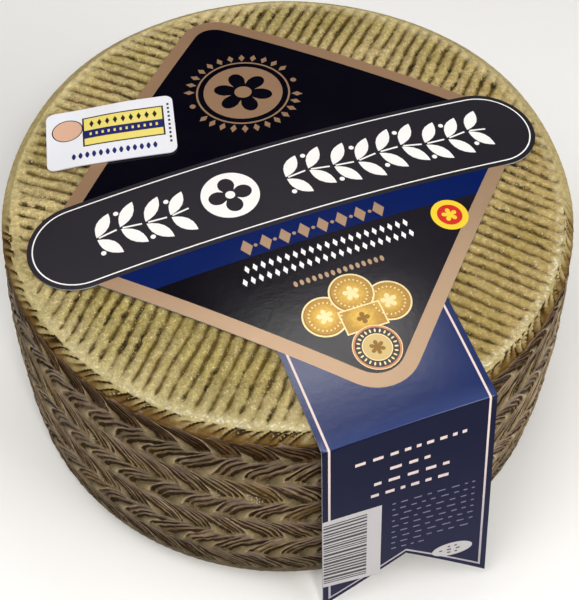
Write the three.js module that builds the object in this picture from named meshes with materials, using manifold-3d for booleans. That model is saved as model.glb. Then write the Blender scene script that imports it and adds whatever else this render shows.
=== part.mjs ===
// A whole aged sheep's milk cheese: a low wheel with ridged faces and a plaited print round its side,
// with the printed card on its top, whose tongue hangs over the front, and a small card beside it.
// Millimetres, +Z up. The origin is the middle of the face that the wheel rests on,
// +X runs along the card's banner, and the tongue hangs on the -Y side.

import * as THREE from 'three';
import { mergeVertices } from 'three/addons/utils/BufferGeometryUtils.js';
import Module from 'manifold-3d';

const wasm = await Module();
wasm.setup();

// The wheel's outline

const TOP_HEIGHT = 100.4;         // crests at the middle of the top face
const TOP_DOME = 7.43e-4;         // fall of the top face, in mm for each square mm of radius
const RIDGED_RADIUS = 91.5;       // where the ridges of a face run out
const LIP_RADIUS = 94.7;          // crisp edge round the top
const LIP_HEIGHT = 93.6;
const PLAIT_TOP = 91.4;           // upper edge of the plaited print
const SIDE_RADIUS = 97.4;         // side radius where the bulge has died out
const SIDE_BULGE = 2.7;
const BULGE_MIDDLE = 50;
const BULGE_REACH = 45;
const FOOT_HEIGHT = 10;           // the rounding at the foot
const FOOT_INSET = 7;

// The ridges that a slatted board leaves on both faces, in four quarters

const RIDGE_PITCH = 4.4;
const GROOVE_DEPTH = 1.3;
const SHOULDER = 0.3;             // half the groove's width, as a share of the pitch
const RUN_OUT = 4.5;              // length over which a groove fades at the rim
const SMOOTH_MIDDLE = 10;         // half the smooth square in the middle of each face
const TOP_SAG = 0.5;              // how far the uneven top dips below its dome

// The plaited print round the side

const BUNDLES = 54;               // strand bundles in one turn
const FIRST_ROW = 8;              // drop of the first row of the plait
const ROW_DROP = 11.9;            // drop of each row below it
const ROWS = 8;
const ROW_STEPS = 3;              // rings of points in one row
const STRAND_DEPTH = 1.5;         // how deep a bundle is pressed in
const STRAND_LEAN = 1.15;         // sideways run of a bundle across its row, in bundle widths
const STRAND_CURL = 1.8;          // how much a bundle steepens towards its lower end
const SIDE_WANDER = 0.35;         // how far the side wanders from round

// The card on the top

const CARD_THICKNESS = 0.5;
const CARD_TOP = 101.33;          // its upper face at the middle of the wheel
const LABEL_X = 1.4;              // middle of the card
const LABEL_Y = 2.16;             // height of the diamond's side corners
const DIAMOND_HALF_WIDTH = 84.4;  // to the inner edge of the border
const DIAMOND_UP = 88.2;
const DIAMOND_DOWN = 87;
const BORDER = 5;
const TOP_CORNER_RADIUS = 12.3;
const BOTTOM_CORNER_RADIUS = 15;
const BANNER_Y = 1.4;
const BANNER_HALF_LENGTH = 92;
const BANNER_HALF_HEIGHT = 17.7;
const TONGUE_HALF_WIDTH = 29.1;
const FOLD_Y = -98.2;
const TONGUE_LENGTH = 92.2;
const TONGUE_NOTCH = 0.77;        // length at the swallowtail's notch, as a share of the length
const LEAN_LEFT = 4.5;            // degrees that the hanging tongue stands out, at its left edge
const LEAN_RIGHT = 9.6;           // and at its right edge

// The small card, half on the cheese and half on the label

const SMALL_X = -48.5;
const SMALL_Y = 46.7;
const SMALL_WIDTH = 45.5;
const SMALL_HEIGHT = 29.3;
const SMALL_CORNER = 3;
const SMALL_TURN = -14;
const SMALL_THICKNESS = 0.4;
const GAP = 0.3;                  // clearance between two pieces that touch

const rad = THREE.MathUtils.degToRad;
const smoothstep = THREE.MathUtils.smoothstep;
const point = (x, y, z) => new THREE.Vector3(x, y, z);

function domeHeight(top, x, y) {
  return top - TOP_DOME * (x * x + y * y);
}

// A gentle wander between 0 and 1 for places on a face
function unevenness(x, y) {
  const slow = Math.sin(x * 0.045 + 1.3) * Math.cos(y * 0.052 - 0.4);
  const quick = Math.sin(x * 0.11 - y * 0.083 + 2.1);
  return 0.5 + 0.32 * slow + 0.18 * quick;
}

// Radius of the side at a height, before the plait is pressed into it
function sideRadius(z) {
  const reach = (z - BULGE_MIDDLE) / BULGE_REACH;
  const bulged = SIDE_RADIUS + SIDE_BULGE * (1 - reach * reach);
  if (z >= FOOT_HEIGHT) return bulged;
  const down = 1 - z / FOOT_HEIGHT;
  return bulged - FOOT_INSET * (1 - Math.sqrt(1 - down * down));
}

// Collects points and triangles; a point named twice is one point
class Skin {
  constructor() {
    this.points = [];
    this.faces = [];
    this.known = new Map();
  }

  add(p) {
    const key = [p.x, p.y, p.z].map((value) => Math.round(value * 1e4)).join();
    if (!this.known.has(key)) {
      this.known.set(key, this.points.length);
      this.points.push(p);
    }
    return this.known.get(key);
  }

  triangle(a, b, c) {
    if (a === b || b === c || c === a) return;
    this.faces.push(a, b, c);
  }

  // Two lines of points with as many points each
  strip(left, right) {
    for (let i = 0; i + 1 < left.length; i += 1) {
      this.triangle(left[i], right[i], right[i + 1]);
      this.triangle(left[i], right[i + 1], left[i + 1]);
    }
  }

  angle(index) {
    const p = this.points[index];
    return Math.atan2(p.y, p.x);
  }

  // Two closed rings, each in order of angle, with any number of points
  stitch(upper, lower) {
    const turned = (ring) => {
      const angles = ring.map((index) => this.angle(index));
      const start = angles.indexOf(Math.min(...angles));
      const order = ring.map((index, i) => ring[(start + i) % ring.length]);
      return { order, angles: order.map((index) => this.angle(index)) };
    };
    const a = turned(upper);
    const b = turned(lower);
    const full = 2 * Math.PI;
    const at = (ring, i) => ring.angles[i % ring.order.length] + (i >= ring.order.length ? full : 0);
    let i = 0;
    let j = 0;
    while (i < a.order.length || j < b.order.length) {
      const p = a.order[i % a.order.length];
      const q = b.order[j % b.order.length];
      const upperFirst = j >= b.order.length
        || (i < a.order.length && at(a, i + 1) + at(a, i) < at(b, j + 1) + at(b, j));
      if (upperFirst) {
        this.triangle(p, q, a.order[(i + 1) % a.order.length]);
        i += 1;
      } else {
        this.triangle(p, q, b.order[(j + 1) % b.order.length]);
        j += 1;
      }
    }
  }

  geometry() {
    const geometry = new THREE.BufferGeometry();
    geometry.setFromPoints(this.points);
    geometry.setIndex(this.faces);
    return geometry;
  }
}

// Places across a quarter's ridges: each groove's bottom and its two shoulders
function ridgeLines() {
  const widest = RIDGED_RADIUS * Math.SQRT1_2 - 0.4;
  const lines = [];
  const count = Math.ceil(widest / RIDGE_PITCH);
  for (let groove = -count; groove <= count; groove += 1) {
    for (const side of [-SHOULDER, 0, SHOULDER]) {
      const across = (groove + side) * RIDGE_PITCH;
      if (Math.abs(across) < widest) lines.push({ across, depth: side === 0 ? GROOVE_DEPTH : 0 });
    }
  }
  return lines;
}

// One ridged face in four quarters, whose ridges run out along each quarter's middle.
// place(x, y, depth) gives the point for a place on the face that lies that deep in a groove.
// Each line has this many steps between the smooth middle and the place where it starts to fade.
// Returns the ring of points where the ridges run out, in order of angle.
function ridgedFace(skin, steps, place, facesUp) {
  const lines = ridgeLines();
  const ring = [];
  for (let quarter = 0; quarter < 4; quarter += 1) {
    const turn = (quarter + 0.5) * Math.PI / 2;
    const onFace = (along, across, depth) => {
      const x = along * Math.cos(turn) - across * Math.sin(turn);
      const y = along * Math.sin(turn) + across * Math.cos(turn);
      return skin.add(place(x, y, depth));
    };
    const corner = (side) => onFace(RIDGED_RADIUS * Math.SQRT1_2, side * RIDGED_RADIUS * Math.SQRT1_2, 0);
    const columns = lines.map(({ across, depth }) => {
      const start = Math.abs(across);
      const end = Math.sqrt(RIDGED_RADIUS ** 2 - across ** 2);
      const fade = Math.max(end - RUN_OUT, (start + end) / 2);
      const open = Math.max(start, SMOOTH_MIDDLE + 1);
      const stops = [start];
      for (let i = 0; i <= steps; i += 1) stops.push(THREE.MathUtils.lerp(open, fade, i / steps));
      stops.push(end);
      return stops.map((along) => {
        const smooth = along === end || along < SMOOTH_MIDDLE;
        return onFace(along, across, smooth ? 0 : depth);
      });
    });
    const first = columns[0].map(() => corner(-1));
    const last = columns[0].map(() => corner(1));
    const all = [first, ...columns, last];
    for (let i = 0; i + 1 < all.length; i += 1) {
      if (facesUp) skin.strip(all[i + 1], all[i]);
      else skin.strip(all[i], all[i + 1]);
    }
    ring.push(...all.slice(0, -1).map((column) => column[column.length - 1]));
  }
  return ring;
}

// How far a bundle has run sideways by the share v of its row's drop, in bundle widths
function strandRun(row, v) {
  const run = 1 - (1 - v) ** STRAND_CURL;
  return STRAND_LEAN * (row % 2 === 0 ? run : 1 - run);
}

// Heights of the plait's rings, each with its row and its share of the row's drop
function plaitRings() {
  const rings = [];
  let top = PLAIT_TOP;
  for (let row = 0; row < ROWS; row += 1) {
    const wanted = row === 0 ? FIRST_ROW : ROW_DROP;
    const drop = Math.min(wanted, top - 1.2);
    const steps = row === ROWS - 1 ? ROW_STEPS : ROW_STEPS - 1;
    for (let step = 0; step <= steps; step += 1) {
      const v = step / ROW_STEPS;
      rings.push({ row, v, z: top - drop * v });
    }
    top -= drop;
  }
  return rings;
}

// One ring of the side: raised columns between bundles and sunk columns along their middles
function plaitRing(skin, { row, v, z }) {
  const columns = 2 * BUNDLES;
  const ring = [];
  for (let column = 0; column < columns; column += 1) {
    const sunk = column % 2 === 1;
    const angle = (column / 2 + strandRun(row, v)) * 2 * Math.PI / BUNDLES;
    const pressed = sunk ? STRAND_DEPTH * (0.3 + 0.7 * Math.sin(Math.PI * Math.min(v + 0.1, 1))) : 0;
    const wander = SIDE_WANDER * (0.5 + 0.5 * Math.sin(3 * angle + z * 0.05));
    const radius = sideRadius(z) - pressed - wander;
    ring.push(skin.add(point(radius * Math.cos(angle), radius * Math.sin(angle), z)));
  }
  return ring;
}

function cheeseWheel() {
  const skin = new Skin();
  const onTop = (x, y, depth) => {
    const sag = TOP_SAG * unevenness(x, y);
    return point(x, y, domeHeight(TOP_HEIGHT, x, y) - depth - sag);
  };
  const onBase = (x, y, depth) => point(x, y, depth);
  const topRing = ridgedFace(skin, 2, onTop, true);
  const lip = [];
  for (let i = 0; i < 2 * BUNDLES; i += 1) {
    const angle = (i + 0.5) * Math.PI / BUNDLES;
    const radius = LIP_RADIUS - (i % 2) * 0.4;
    const z = LIP_HEIGHT - TOP_SAG * 0.5 * unevenness(radius * Math.cos(angle), radius * Math.sin(angle));
    lip.push(skin.add(point(radius * Math.cos(angle), radius * Math.sin(angle), z)));
  }
  skin.stitch(topRing, lip);
  const rings = plaitRings().map((ring) => plaitRing(skin, ring));
  skin.stitch(lip, rings[0]);
  for (let i = 0; i + 1 < rings.length; i += 1) {
    skin.strip([...rings[i], rings[i][0]], [...rings[i + 1], rings[i + 1][0]]);
  }
  const baseRing = ridgedFace(skin, 1, onBase, false);
  skin.stitch(rings[rings.length - 1], baseRing);
  return skin.geometry();
}

// A closed sheet from a grid of points on its front face, whose back lies the thickness behind it.
// The thickness points the way that u turned towards v does.
function sheet(columns, rows, place, thickness) {
  const skin = new Skin();
  const grid = (offset) => {
    const lines = [];
    for (let i = 0; i <= columns; i += 1) {
      const line = [];
      for (let j = 0; j <= rows; j += 1) line.push(skin.add(place(i / columns, j / rows).add(offset)));
      lines.push(line);
    }
    return lines;
  };
  const front = grid(point(0, 0, 0));
  const back = grid(thickness);
  for (let i = 0; i < columns; i += 1) {
    skin.strip(front[i + 1], front[i]);
    skin.strip(back[i], back[i + 1]);
    skin.triangle(front[i][0], front[i + 1][0], back[i + 1][0]);
    skin.triangle(front[i][0], back[i + 1][0], back[i][0]);
    skin.triangle(front[i + 1][rows], front[i][rows], back[i][rows]);
    skin.triangle(front[i + 1][rows], back[i][rows], back[i + 1][rows]);
  }
  skin.strip(front[0], back[0]);
  skin.strip(back[columns], front[columns]);
  return skin.geometry();
}

function toManifold(source) {
  const bare = new THREE.BufferGeometry();
  bare.setAttribute('position', source.getAttribute('position').clone());
  if (source.index) bare.setIndex(source.index.clone());
  const merged = mergeVertices(bare, 1e-4);
  const index = merged.index.array;
  const faces = [];
  for (let i = 0; i < index.length; i += 3) {
    const [a, b, c] = [index[i], index[i + 1], index[i + 2]];
    if (a !== b && b !== c && c !== a) faces.push(a, b, c);
  }
  const solid = new wasm.Manifold(new wasm.Mesh({
    numProp: 3,
    vertProperties: new Float32Array(merged.getAttribute('position').array),
    triVerts: new Uint32Array(faces),
  }));
  if (solid.volume() <= 0) throw new Error('a solid is inside out');
  return solid;
}

function toGeometry(solid) {
  const mesh = solid.getMesh();
  const geometry = new THREE.BufferGeometry();
  const places = new Float32Array(mesh.numVert * 3);
  for (let i = 0; i < mesh.numVert; i += 1) {
    for (let k = 0; k < 3; k += 1) places[3 * i + k] = mesh.vertProperties[mesh.numProp * i + k];
  }
  geometry.setAttribute('position', new THREE.BufferAttribute(places, 3));
  geometry.setIndex(new THREE.BufferAttribute(new Uint32Array(mesh.triVerts), 1));
  return geometry;
}

// The diamond with a rounded upper and lower corner; its side corners lie under the banner
function diamondShape() {
  const edge = (down) => Math.hypot(DIAMOND_HALF_WIDTH, down);
  const grow = (down) => BORDER * edge(down);
  const up = DIAMOND_UP + grow(DIAMOND_UP) / DIAMOND_HALF_WIDTH;
  const down = DIAMOND_DOWN + grow(DIAMOND_DOWN) / DIAMOND_HALF_WIDTH;
  const side = DIAMOND_HALF_WIDTH + grow(DIAMOND_UP) / DIAMOND_UP;
  const shape = new THREE.Shape();
  const corner = (height, radius, sign) => {
    const half = Math.atan2(side, height);
    const middle = height - radius / Math.sin(half);
    const sweep = Math.PI / 2 - half;
    const from = sign > 0 ? Math.PI / 2 - sweep : 3 * Math.PI / 2 - sweep;
    shape.absarc(LABEL_X, LABEL_Y + sign * middle, radius, from, from + 2 * sweep, false);
  };
  corner(up, TOP_CORNER_RADIUS, 1);
  shape.lineTo(LABEL_X - side, LABEL_Y);
  corner(down, BOTTOM_CORNER_RADIUS, -1);
  shape.lineTo(LABEL_X + side, LABEL_Y);
  shape.closePath();
  return shape;
}

function bannerShape() {
  const reach = BANNER_HALF_LENGTH - BANNER_HALF_HEIGHT;
  const shape = new THREE.Shape();
  shape.absarc(LABEL_X + reach, BANNER_Y, BANNER_HALF_HEIGHT, -Math.PI / 2, Math.PI / 2, false);
  shape.absarc(LABEL_X - reach, BANNER_Y, BANNER_HALF_HEIGHT, Math.PI / 2, 3 * Math.PI / 2, false);
  shape.closePath();
  return shape;
}

function tongueTopShape() {
  const shape = new THREE.Shape();
  shape.moveTo(LABEL_X - TONGUE_HALF_WIDTH, FOLD_Y);
  shape.lineTo(LABEL_X + TONGUE_HALF_WIDTH, FOLD_Y);
  shape.lineTo(LABEL_X + TONGUE_HALF_WIDTH, -50);
  shape.lineTo(LABEL_X - TONGUE_HALF_WIDTH, -50);
  shape.closePath();
  return shape;
}

// A thin round shell that follows the top face's dome
function domedShell() {
  const reach = 106;
  const steps = 10;
  const profile = [];
  for (let i = 0; i <= steps; i += 1) {
    const r = reach * i / steps;
    profile.push(new THREE.Vector2(r, domeHeight(CARD_TOP - CARD_THICKNESS, r, 0)));
  }
  for (let i = steps; i >= 0; i -= 1) {
    const r = reach * i / steps;
    profile.push(new THREE.Vector2(r, domeHeight(CARD_TOP, r, 0)));
  }
  return new THREE.LatheGeometry(profile, 48).rotateX(Math.PI / 2);
}

// The tongue below its fold: a swallowtail that leans out, more at its right edge
function hangingTongue() {
  const place = (u, v) => {
    const x = LABEL_X + (2 * u - 1) * TONGUE_HALF_WIDTH;
    const lean = rad(THREE.MathUtils.lerp(LEAN_LEFT, LEAN_RIGHT, u));
    const notch = 1 - (1 - TONGUE_NOTCH) * (1 - Math.abs(2 * u - 1));
    const down = TONGUE_LENGTH * notch * v;
    const fold = domeHeight(CARD_TOP, x - LABEL_X, FOLD_Y) - 0.05;
    return point(x, FOLD_Y - down * Math.sin(lean), fold - down * Math.cos(lean));
  };
  return sheet(8, 4, place, point(0, CARD_THICKNESS, 0));
}

function label() {
  const tall = { depth: 30, bevelEnabled: false, curveSegments: 12 };
  const cut = (shape) => toManifold(new THREE.ExtrudeGeometry(shape, tall).translate(0, 0, 80));
  const outline = cut(diamondShape()).add(cut(bannerShape())).add(cut(tongueTopShape()));
  const onTop = outline.intersect(toManifold(domedShell()));
  return toGeometry(onTop.add(toManifold(hangingTongue())));
}

// How far a place lies outside the label's upper left edge
function outsideLabel(x, y) {
  const width = DIAMOND_HALF_WIDTH;
  const length = Math.hypot(width, DIAMOND_UP);
  const inner = (-(x - LABEL_X) * DIAMOND_UP + (y - LABEL_Y) * width - width * DIAMOND_UP) / length;
  return inner - BORDER;
}

// The small card lies on the label and comes down to the cheese beside it
function smallCard() {
  const turn = rad(SMALL_TURN);
  const place = (u, v) => {
    const up = (0.5 - v) * SMALL_HEIGHT;
    const intoCorner = Math.max(Math.abs(up) - SMALL_HEIGHT / 2 + SMALL_CORNER, 0);
    const half = SMALL_WIDTH / 2 - SMALL_CORNER + Math.sqrt(SMALL_CORNER ** 2 - intoCorner ** 2);
    const along = (2 * u - 1) * half;
    const x = SMALL_X + along * Math.cos(turn) - up * Math.sin(turn);
    const y = SMALL_Y + along * Math.sin(turn) + up * Math.cos(turn);
    const onLabel = CARD_TOP + GAP;
    const onCheese = TOP_HEIGHT + GAP;
    const lower = THREE.MathUtils.lerp(onLabel, onCheese, smoothstep(outsideLabel(x, y), 1, 9));
    return point(x, y, domeHeight(lower + SMALL_THICKNESS, x, y));
  };
  return sheet(10, 10, place, point(0, 0, -SMALL_THICKNESS));
}

function piece(name, geometry, color, roughness) {
  const material = new THREE.MeshStandardMaterial({ color, roughness, metalness: 0 });
  const mesh = new THREE.Mesh(geometry, material);
  mesh.name = name;
  return mesh;
}

const wheel = new THREE.Group();
wheel.add(piece('cheese_wheel', cheeseWheel(), 0x9c9160, 0.5));
wheel.add(piece('label', label(), 0x15193a, 0.35));
wheel.add(piece('small_card', smallCard(), 0xe9e9ec, 0.4));

export default wheel;
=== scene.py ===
import math

import bpy
import numpy as np
from bpy.props import FloatProperty, FloatVectorProperty, IntProperty, PointerProperty
from mathutils import Matrix, Vector
from mathutils.geometry import delaunay_2d_cdt


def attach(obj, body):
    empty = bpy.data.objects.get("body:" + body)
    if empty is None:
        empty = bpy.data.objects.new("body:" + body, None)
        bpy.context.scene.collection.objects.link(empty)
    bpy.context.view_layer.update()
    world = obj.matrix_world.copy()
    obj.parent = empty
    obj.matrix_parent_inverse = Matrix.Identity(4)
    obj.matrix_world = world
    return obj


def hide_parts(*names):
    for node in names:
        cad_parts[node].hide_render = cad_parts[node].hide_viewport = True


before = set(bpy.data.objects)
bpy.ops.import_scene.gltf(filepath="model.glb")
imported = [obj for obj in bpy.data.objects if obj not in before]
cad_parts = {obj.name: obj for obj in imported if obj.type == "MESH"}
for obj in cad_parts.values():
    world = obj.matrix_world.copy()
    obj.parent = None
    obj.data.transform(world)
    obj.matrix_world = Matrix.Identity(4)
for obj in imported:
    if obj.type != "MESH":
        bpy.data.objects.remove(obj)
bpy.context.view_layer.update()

bl_info = {
    "name": "Aged sheep's milk cheese",
    "version": (1, 0, 0),
    "blender": (4, 5, 0),
    "location": "3D View > Sidebar > Cheese",
    "description": "Builds a whole pressed cheese with its label card, its small card and a studio",
    "category": "Object",
}

MM = 0.001

# The wheel's outline in millimetres, as in the solids
TOP_HEIGHT = 100.4
TOP_DOME = 7.43e-4
RIDGED_RADIUS = 91.5
RIDGES_SHIFT = (1.8, 2.05)
PLAIT_TOP = 91.4
SIDE_RADIUS = 97.4
SIDE_BULGE = 2.7
BULGE_MIDDLE = 50.0
BULGE_REACH = 45.0
FOOT_HEIGHT = 10.0
FOOT_INSET = 7.0
TOP_SAG = 0.5
SIDE_WANDER = 0.35
# The side swells a little more low down at the front left
SWELL = 1.7
SWOLLEN_HEIGHT = 16.0
SWOLLEN_TOWARDS = math.radians(-132)
# The wheel is taller at the back, so its domed top runs out nearly level there
FAR_SIDE = (0.36, 0.933)
FAR_REACH = 75.0
FAR_RISE = 0.72

# The plaited print round the side
BUNDLES = 54
NICKS = 3.0
FIRST_ROW = 8.0
ROW_DROP = 11.9
ROWS = 8
LAST_RING = 1.2
STRAND_LEAN = 1.15
STRAND_CURL = 1.8
# Points across a bundle, and the shares of a row's drop where its rings of points lie
COLUMNS = 23
ROW_SHARES = (0.0, 0.14, 0.3, 0.5, 0.7, 0.87)

# Rings between the ridged face and the plait: radius, and height or None where they lie on the dome
RIM = (
    (91.9, None),
    (93.1, None),
    (93.9, 93.7),
    (94.4, 93.86),
    (94.85, 93.72),
    (95.25, 93.3),
    (95.8, 92.8),
    (96.4, 92.35),
    (97.0, 91.95),
    (97.5, 91.65),
)
BASE_RIM = ((92.3, 0.45), (91.6, 0.0))

# Where the faces' pattern gives way to the side's: radius, height at the top and at the base
FACE_RADII = (93.8, 94.4)
TOP_HEIGHTS = (91.5, 92.5)
BASE_HEIGHTS = (1.0, 3.0)
# Where the ridges run out, and the lip outside them, paler partly from wear and partly as a painted
# highlight
RIDGES_END = (91.2, 95.2)
LIP_RADIUS = 93.8
LIP_REACH = 3.0

# How a face's points lie: the shares of a ridge where their rows run, and along a row where the
# close ones start, their step, and the step of those that the label hides
TOP_SPACING = ((0.0, 0.09, 0.18, 0.32, 0.5, 0.68, 0.82, 0.91), 56.0, 1.4, 11.0)
BASE_SPACING = ((0.0, 0.5), 200.0, 8.0, 8.0)
ROWS_EACH_WAY = 22
FACE_MARGIN = 0.7

# The prints of a bundle's strands: middle as a share of the bundle's width, half width in bundles,
# depth, and the shares of the row where the print starts, is full and ends
BLUNT_PRINTS = (
    (0.15, 0.10, 1.0, 0.0, 0.45, 1.02),
    (0.5, 0.115, 1.1, 0.05, 0.5, 1.05),
    (0.88, 0.15, 1.35, 0.1, 0.5, 1.1),
)
FANNED_PRINTS = (
    (0.12, 0.085, 0.95, 0.12, 0.55, 1.03),
    (0.37, 0.095, 1.05, 0.1, 0.5, 1.06),
    (0.63, 0.1, 1.1, 0.1, 0.45, 1.1),
    (0.9, 0.14, 1.35, 0.08, 0.42, 1.14),
)
BLUNT_START = 0.15
FANNED_START = 0.1
# How far a bundle's blunt upper edge slants, as a share of its row, and where its middle is
EDGE_SLANT = 0.24
EDGE_MIDDLE = 0.55
# The nicks below the lip: height of their band, and how far they lean over it, in bundles
NICK_DROP = 2.2
NICK_LEAN = 0.42
# How wide one strand, one bundle and one row are for the streaks along the strands
STREAK_ACROSS = 11.3
STREAK_BUNDLE = 7.0
STREAK_ALONG = 2.6

# The card on the top
CARD_THICKNESS = 0.5
CARD_TOP = 101.33
LABEL_X = 1.4
LABEL_Y = 2.16
DIAMOND_HALF_WIDTH = 84.4
DIAMOND_UP = 88.2
DIAMOND_DOWN = 87.0
BORDER = 5.0
TOP_CORNER_RADIUS = 7.3
BOTTOM_CORNER_RADIUS = 10.0
BANNER_Y = 1.4
BANNER_HALF_LENGTH = 92.0
BANNER_HALF_HEIGHT = 17.7
TONGUE_HALF_WIDTH = 29.1
FOLD_Y = -98.2
FOLD_RADIUS = 0.9
FOLD_LENGTH = 1.35
TONGUE_LENGTH = 91.3
TONGUE_NOTCH = 0.77
LEAN_LEFT = 4.5
LEAN_RIGHT = 9.6
# How far outside the diamond the small card starts down from the label, and over what length
CLIMB_START = BORDER + 1
CLIMB_LENGTH = 18.0

# The small card
SMALL_X = -48.5
SMALL_Y = 46.7
SMALL_WIDTH = 45.5
SMALL_HEIGHT = 29.3
SMALL_CORNER = 3.0
SMALL_TURN = math.radians(-14)
SMALL_THICKNESS = 0.4
# How far it lies off the label, and how far its printed marks stand off it
GAP = 0.3
SMALL_LIFT = 0.04

# The photograph's camera
IMAGE_WIDTH = 579
IMAGE_HEIGHT = 600
CAMERA_PLACE = (-0.11557, -0.28953, 0.44286)
CAMERA_AZIMUTH = math.radians(-21.068)
CAMERA_ELEVATION = math.radians(52.714)
CAMERA_ROLL = math.radians(-0.063)
FOCAL_PIXELS = 1362.965
PICTURE_CENTRE = (276.508, 302.721)
SENSOR = 36.0

# The studio: half the floor's width in millimetres, and the turn of the light above
FLOOR_REACH = 4000.0
SOFTBOX_TURN = math.radians(-14)


def from_screen(red, green, blue):
    """A colour read off a screen, 0 to 255, as light."""
    values = []
    for value in (red, green, blue):
        share = value / 255
        values.append(share / 12.92 if share <= 0.04045 else ((share + 0.055) / 1.055) ** 2.4)
    return tuple(values)


def colour_property(name, description, red, green, blue):
    colour = from_screen(red, green, blue)
    return FloatVectorProperty(
        name=name, description=description, default=colour, subtype="COLOR", size=3, min=0.0, max=1.0
    )


def length_property(name, description, millimetres):
    length = millimetres * MM
    return FloatProperty(
        name=name, description=description, default=length, min=0.0, unit="LENGTH", precision=4
    )


def power_property(name, description, watts):
    return FloatProperty(name=name, description=description, default=watts, min=0.0, unit="POWER")


class WheelLook(bpy.types.PropertyGroup):
    ridge_pitch: length_property("Ridge pitch", "From one ridge of the top to the next", 4.4)
    ridge_depth: length_property("Ridge depth", "Depth of the grooves in both faces", 1.3)
    strand_depth: length_property("Strand depth", "Depth of the plaited print in the side", 0.8)
    notch_depth: length_property("Notch depth", "Depth of the nicks below the lip", 0.7)
    lump_height: length_property("Lump height", "How far the ridges' lumps stand up", 0.28)
    seed: IntProperty(name="Seed", description="Changes how the strands vary", default=7)
    crest: colour_property("Crest", "Ridges of the faces", 194, 175, 124)
    olive: colour_property("Olive", "Greener patches of the faces", 162, 147, 92)
    groove: colour_property("Groove", "Between the ridges", 92, 72, 30)
    mould: colour_property("Mould", "Dark spots in the grooves", 38, 33, 18)
    patch: colour_property("Patch", "Bare rind between the strands", 133, 116, 87)
    strand: colour_property("Strand", "Upper ends of the pressed strands", 134, 113, 88)
    deep: colour_property("Deep", "Bottoms of the strand prints", 34, 20, 7)
    amber: colour_property("Amber", "Golden brown oil marks near the lip", 112, 80, 28)


class LabelLook(bpy.types.PropertyGroup):
    tan: colour_property("Tan", "Border, emblem and tan marks", 170, 135, 105)
    black: colour_property("Black", "Upper field", 4, 3, 14)
    dusk: colour_property("Dusk", "Lower field", 29, 26, 34)
    blue: colour_property("Blue", "Band under the banner", 8, 28, 87)
    charcoal: colour_property("Charcoal", "Banner", 36, 33, 41)
    white: colour_property("White", "Lines and ornament of the banner", 246, 245, 243)
    ribbon: colour_property("Ribbon", "Tongue above its fold", 31, 45, 94)
    # The panel's ink is the ribbon's blue made darker, partly a painted shade of the hanging tongue
    panel: colour_property("Panel", "Tongue below its fold", 21, 24, 50)
    stripe: colour_property("Stripe", "Thin lines on the tongue", 226, 206, 200)
    gold: colour_property("Gold", "Medals", 216, 174, 88)
    yellow: colour_property("Yellow", "Seal", 246, 208, 52)
    red: colour_property("Red", "Middle of the seal", 206, 40, 34)
    mark_lift: length_property("Mark lift", "How far a printed mark stands off its card", 0.05)


class SmallCardLook(bpy.types.PropertyGroup):
    white: colour_property("White", "Ground of the small card", 236, 237, 244)
    yellow: colour_property("Yellow", "Box", 240, 222, 120)
    navy: colour_property("Navy", "Band and script marks", 30, 36, 104)
    ink: colour_property("Ink", "Outlines and small marks", 30, 28, 34)
    rose: colour_property("Rose", "Plain disc", 224, 178, 152)


class StudioLook(bpy.types.PropertyGroup):
    floor: colour_property("Floor", "Plain floor", 250, 250, 249)
    softbox: power_property("Softbox", "Light from above", 11.2)
    key: power_property("Key", "Small light that makes the oil glint", 4.0)
    fill: power_property("Fill", "Light from the camera's side", 11.0)
    sheen: power_property("Sheen", "Overhead light seen in the card", 1.35)
    sky: FloatProperty(name="Sky", description="Strength of the room's even light", default=0.012, min=0.0)


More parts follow.
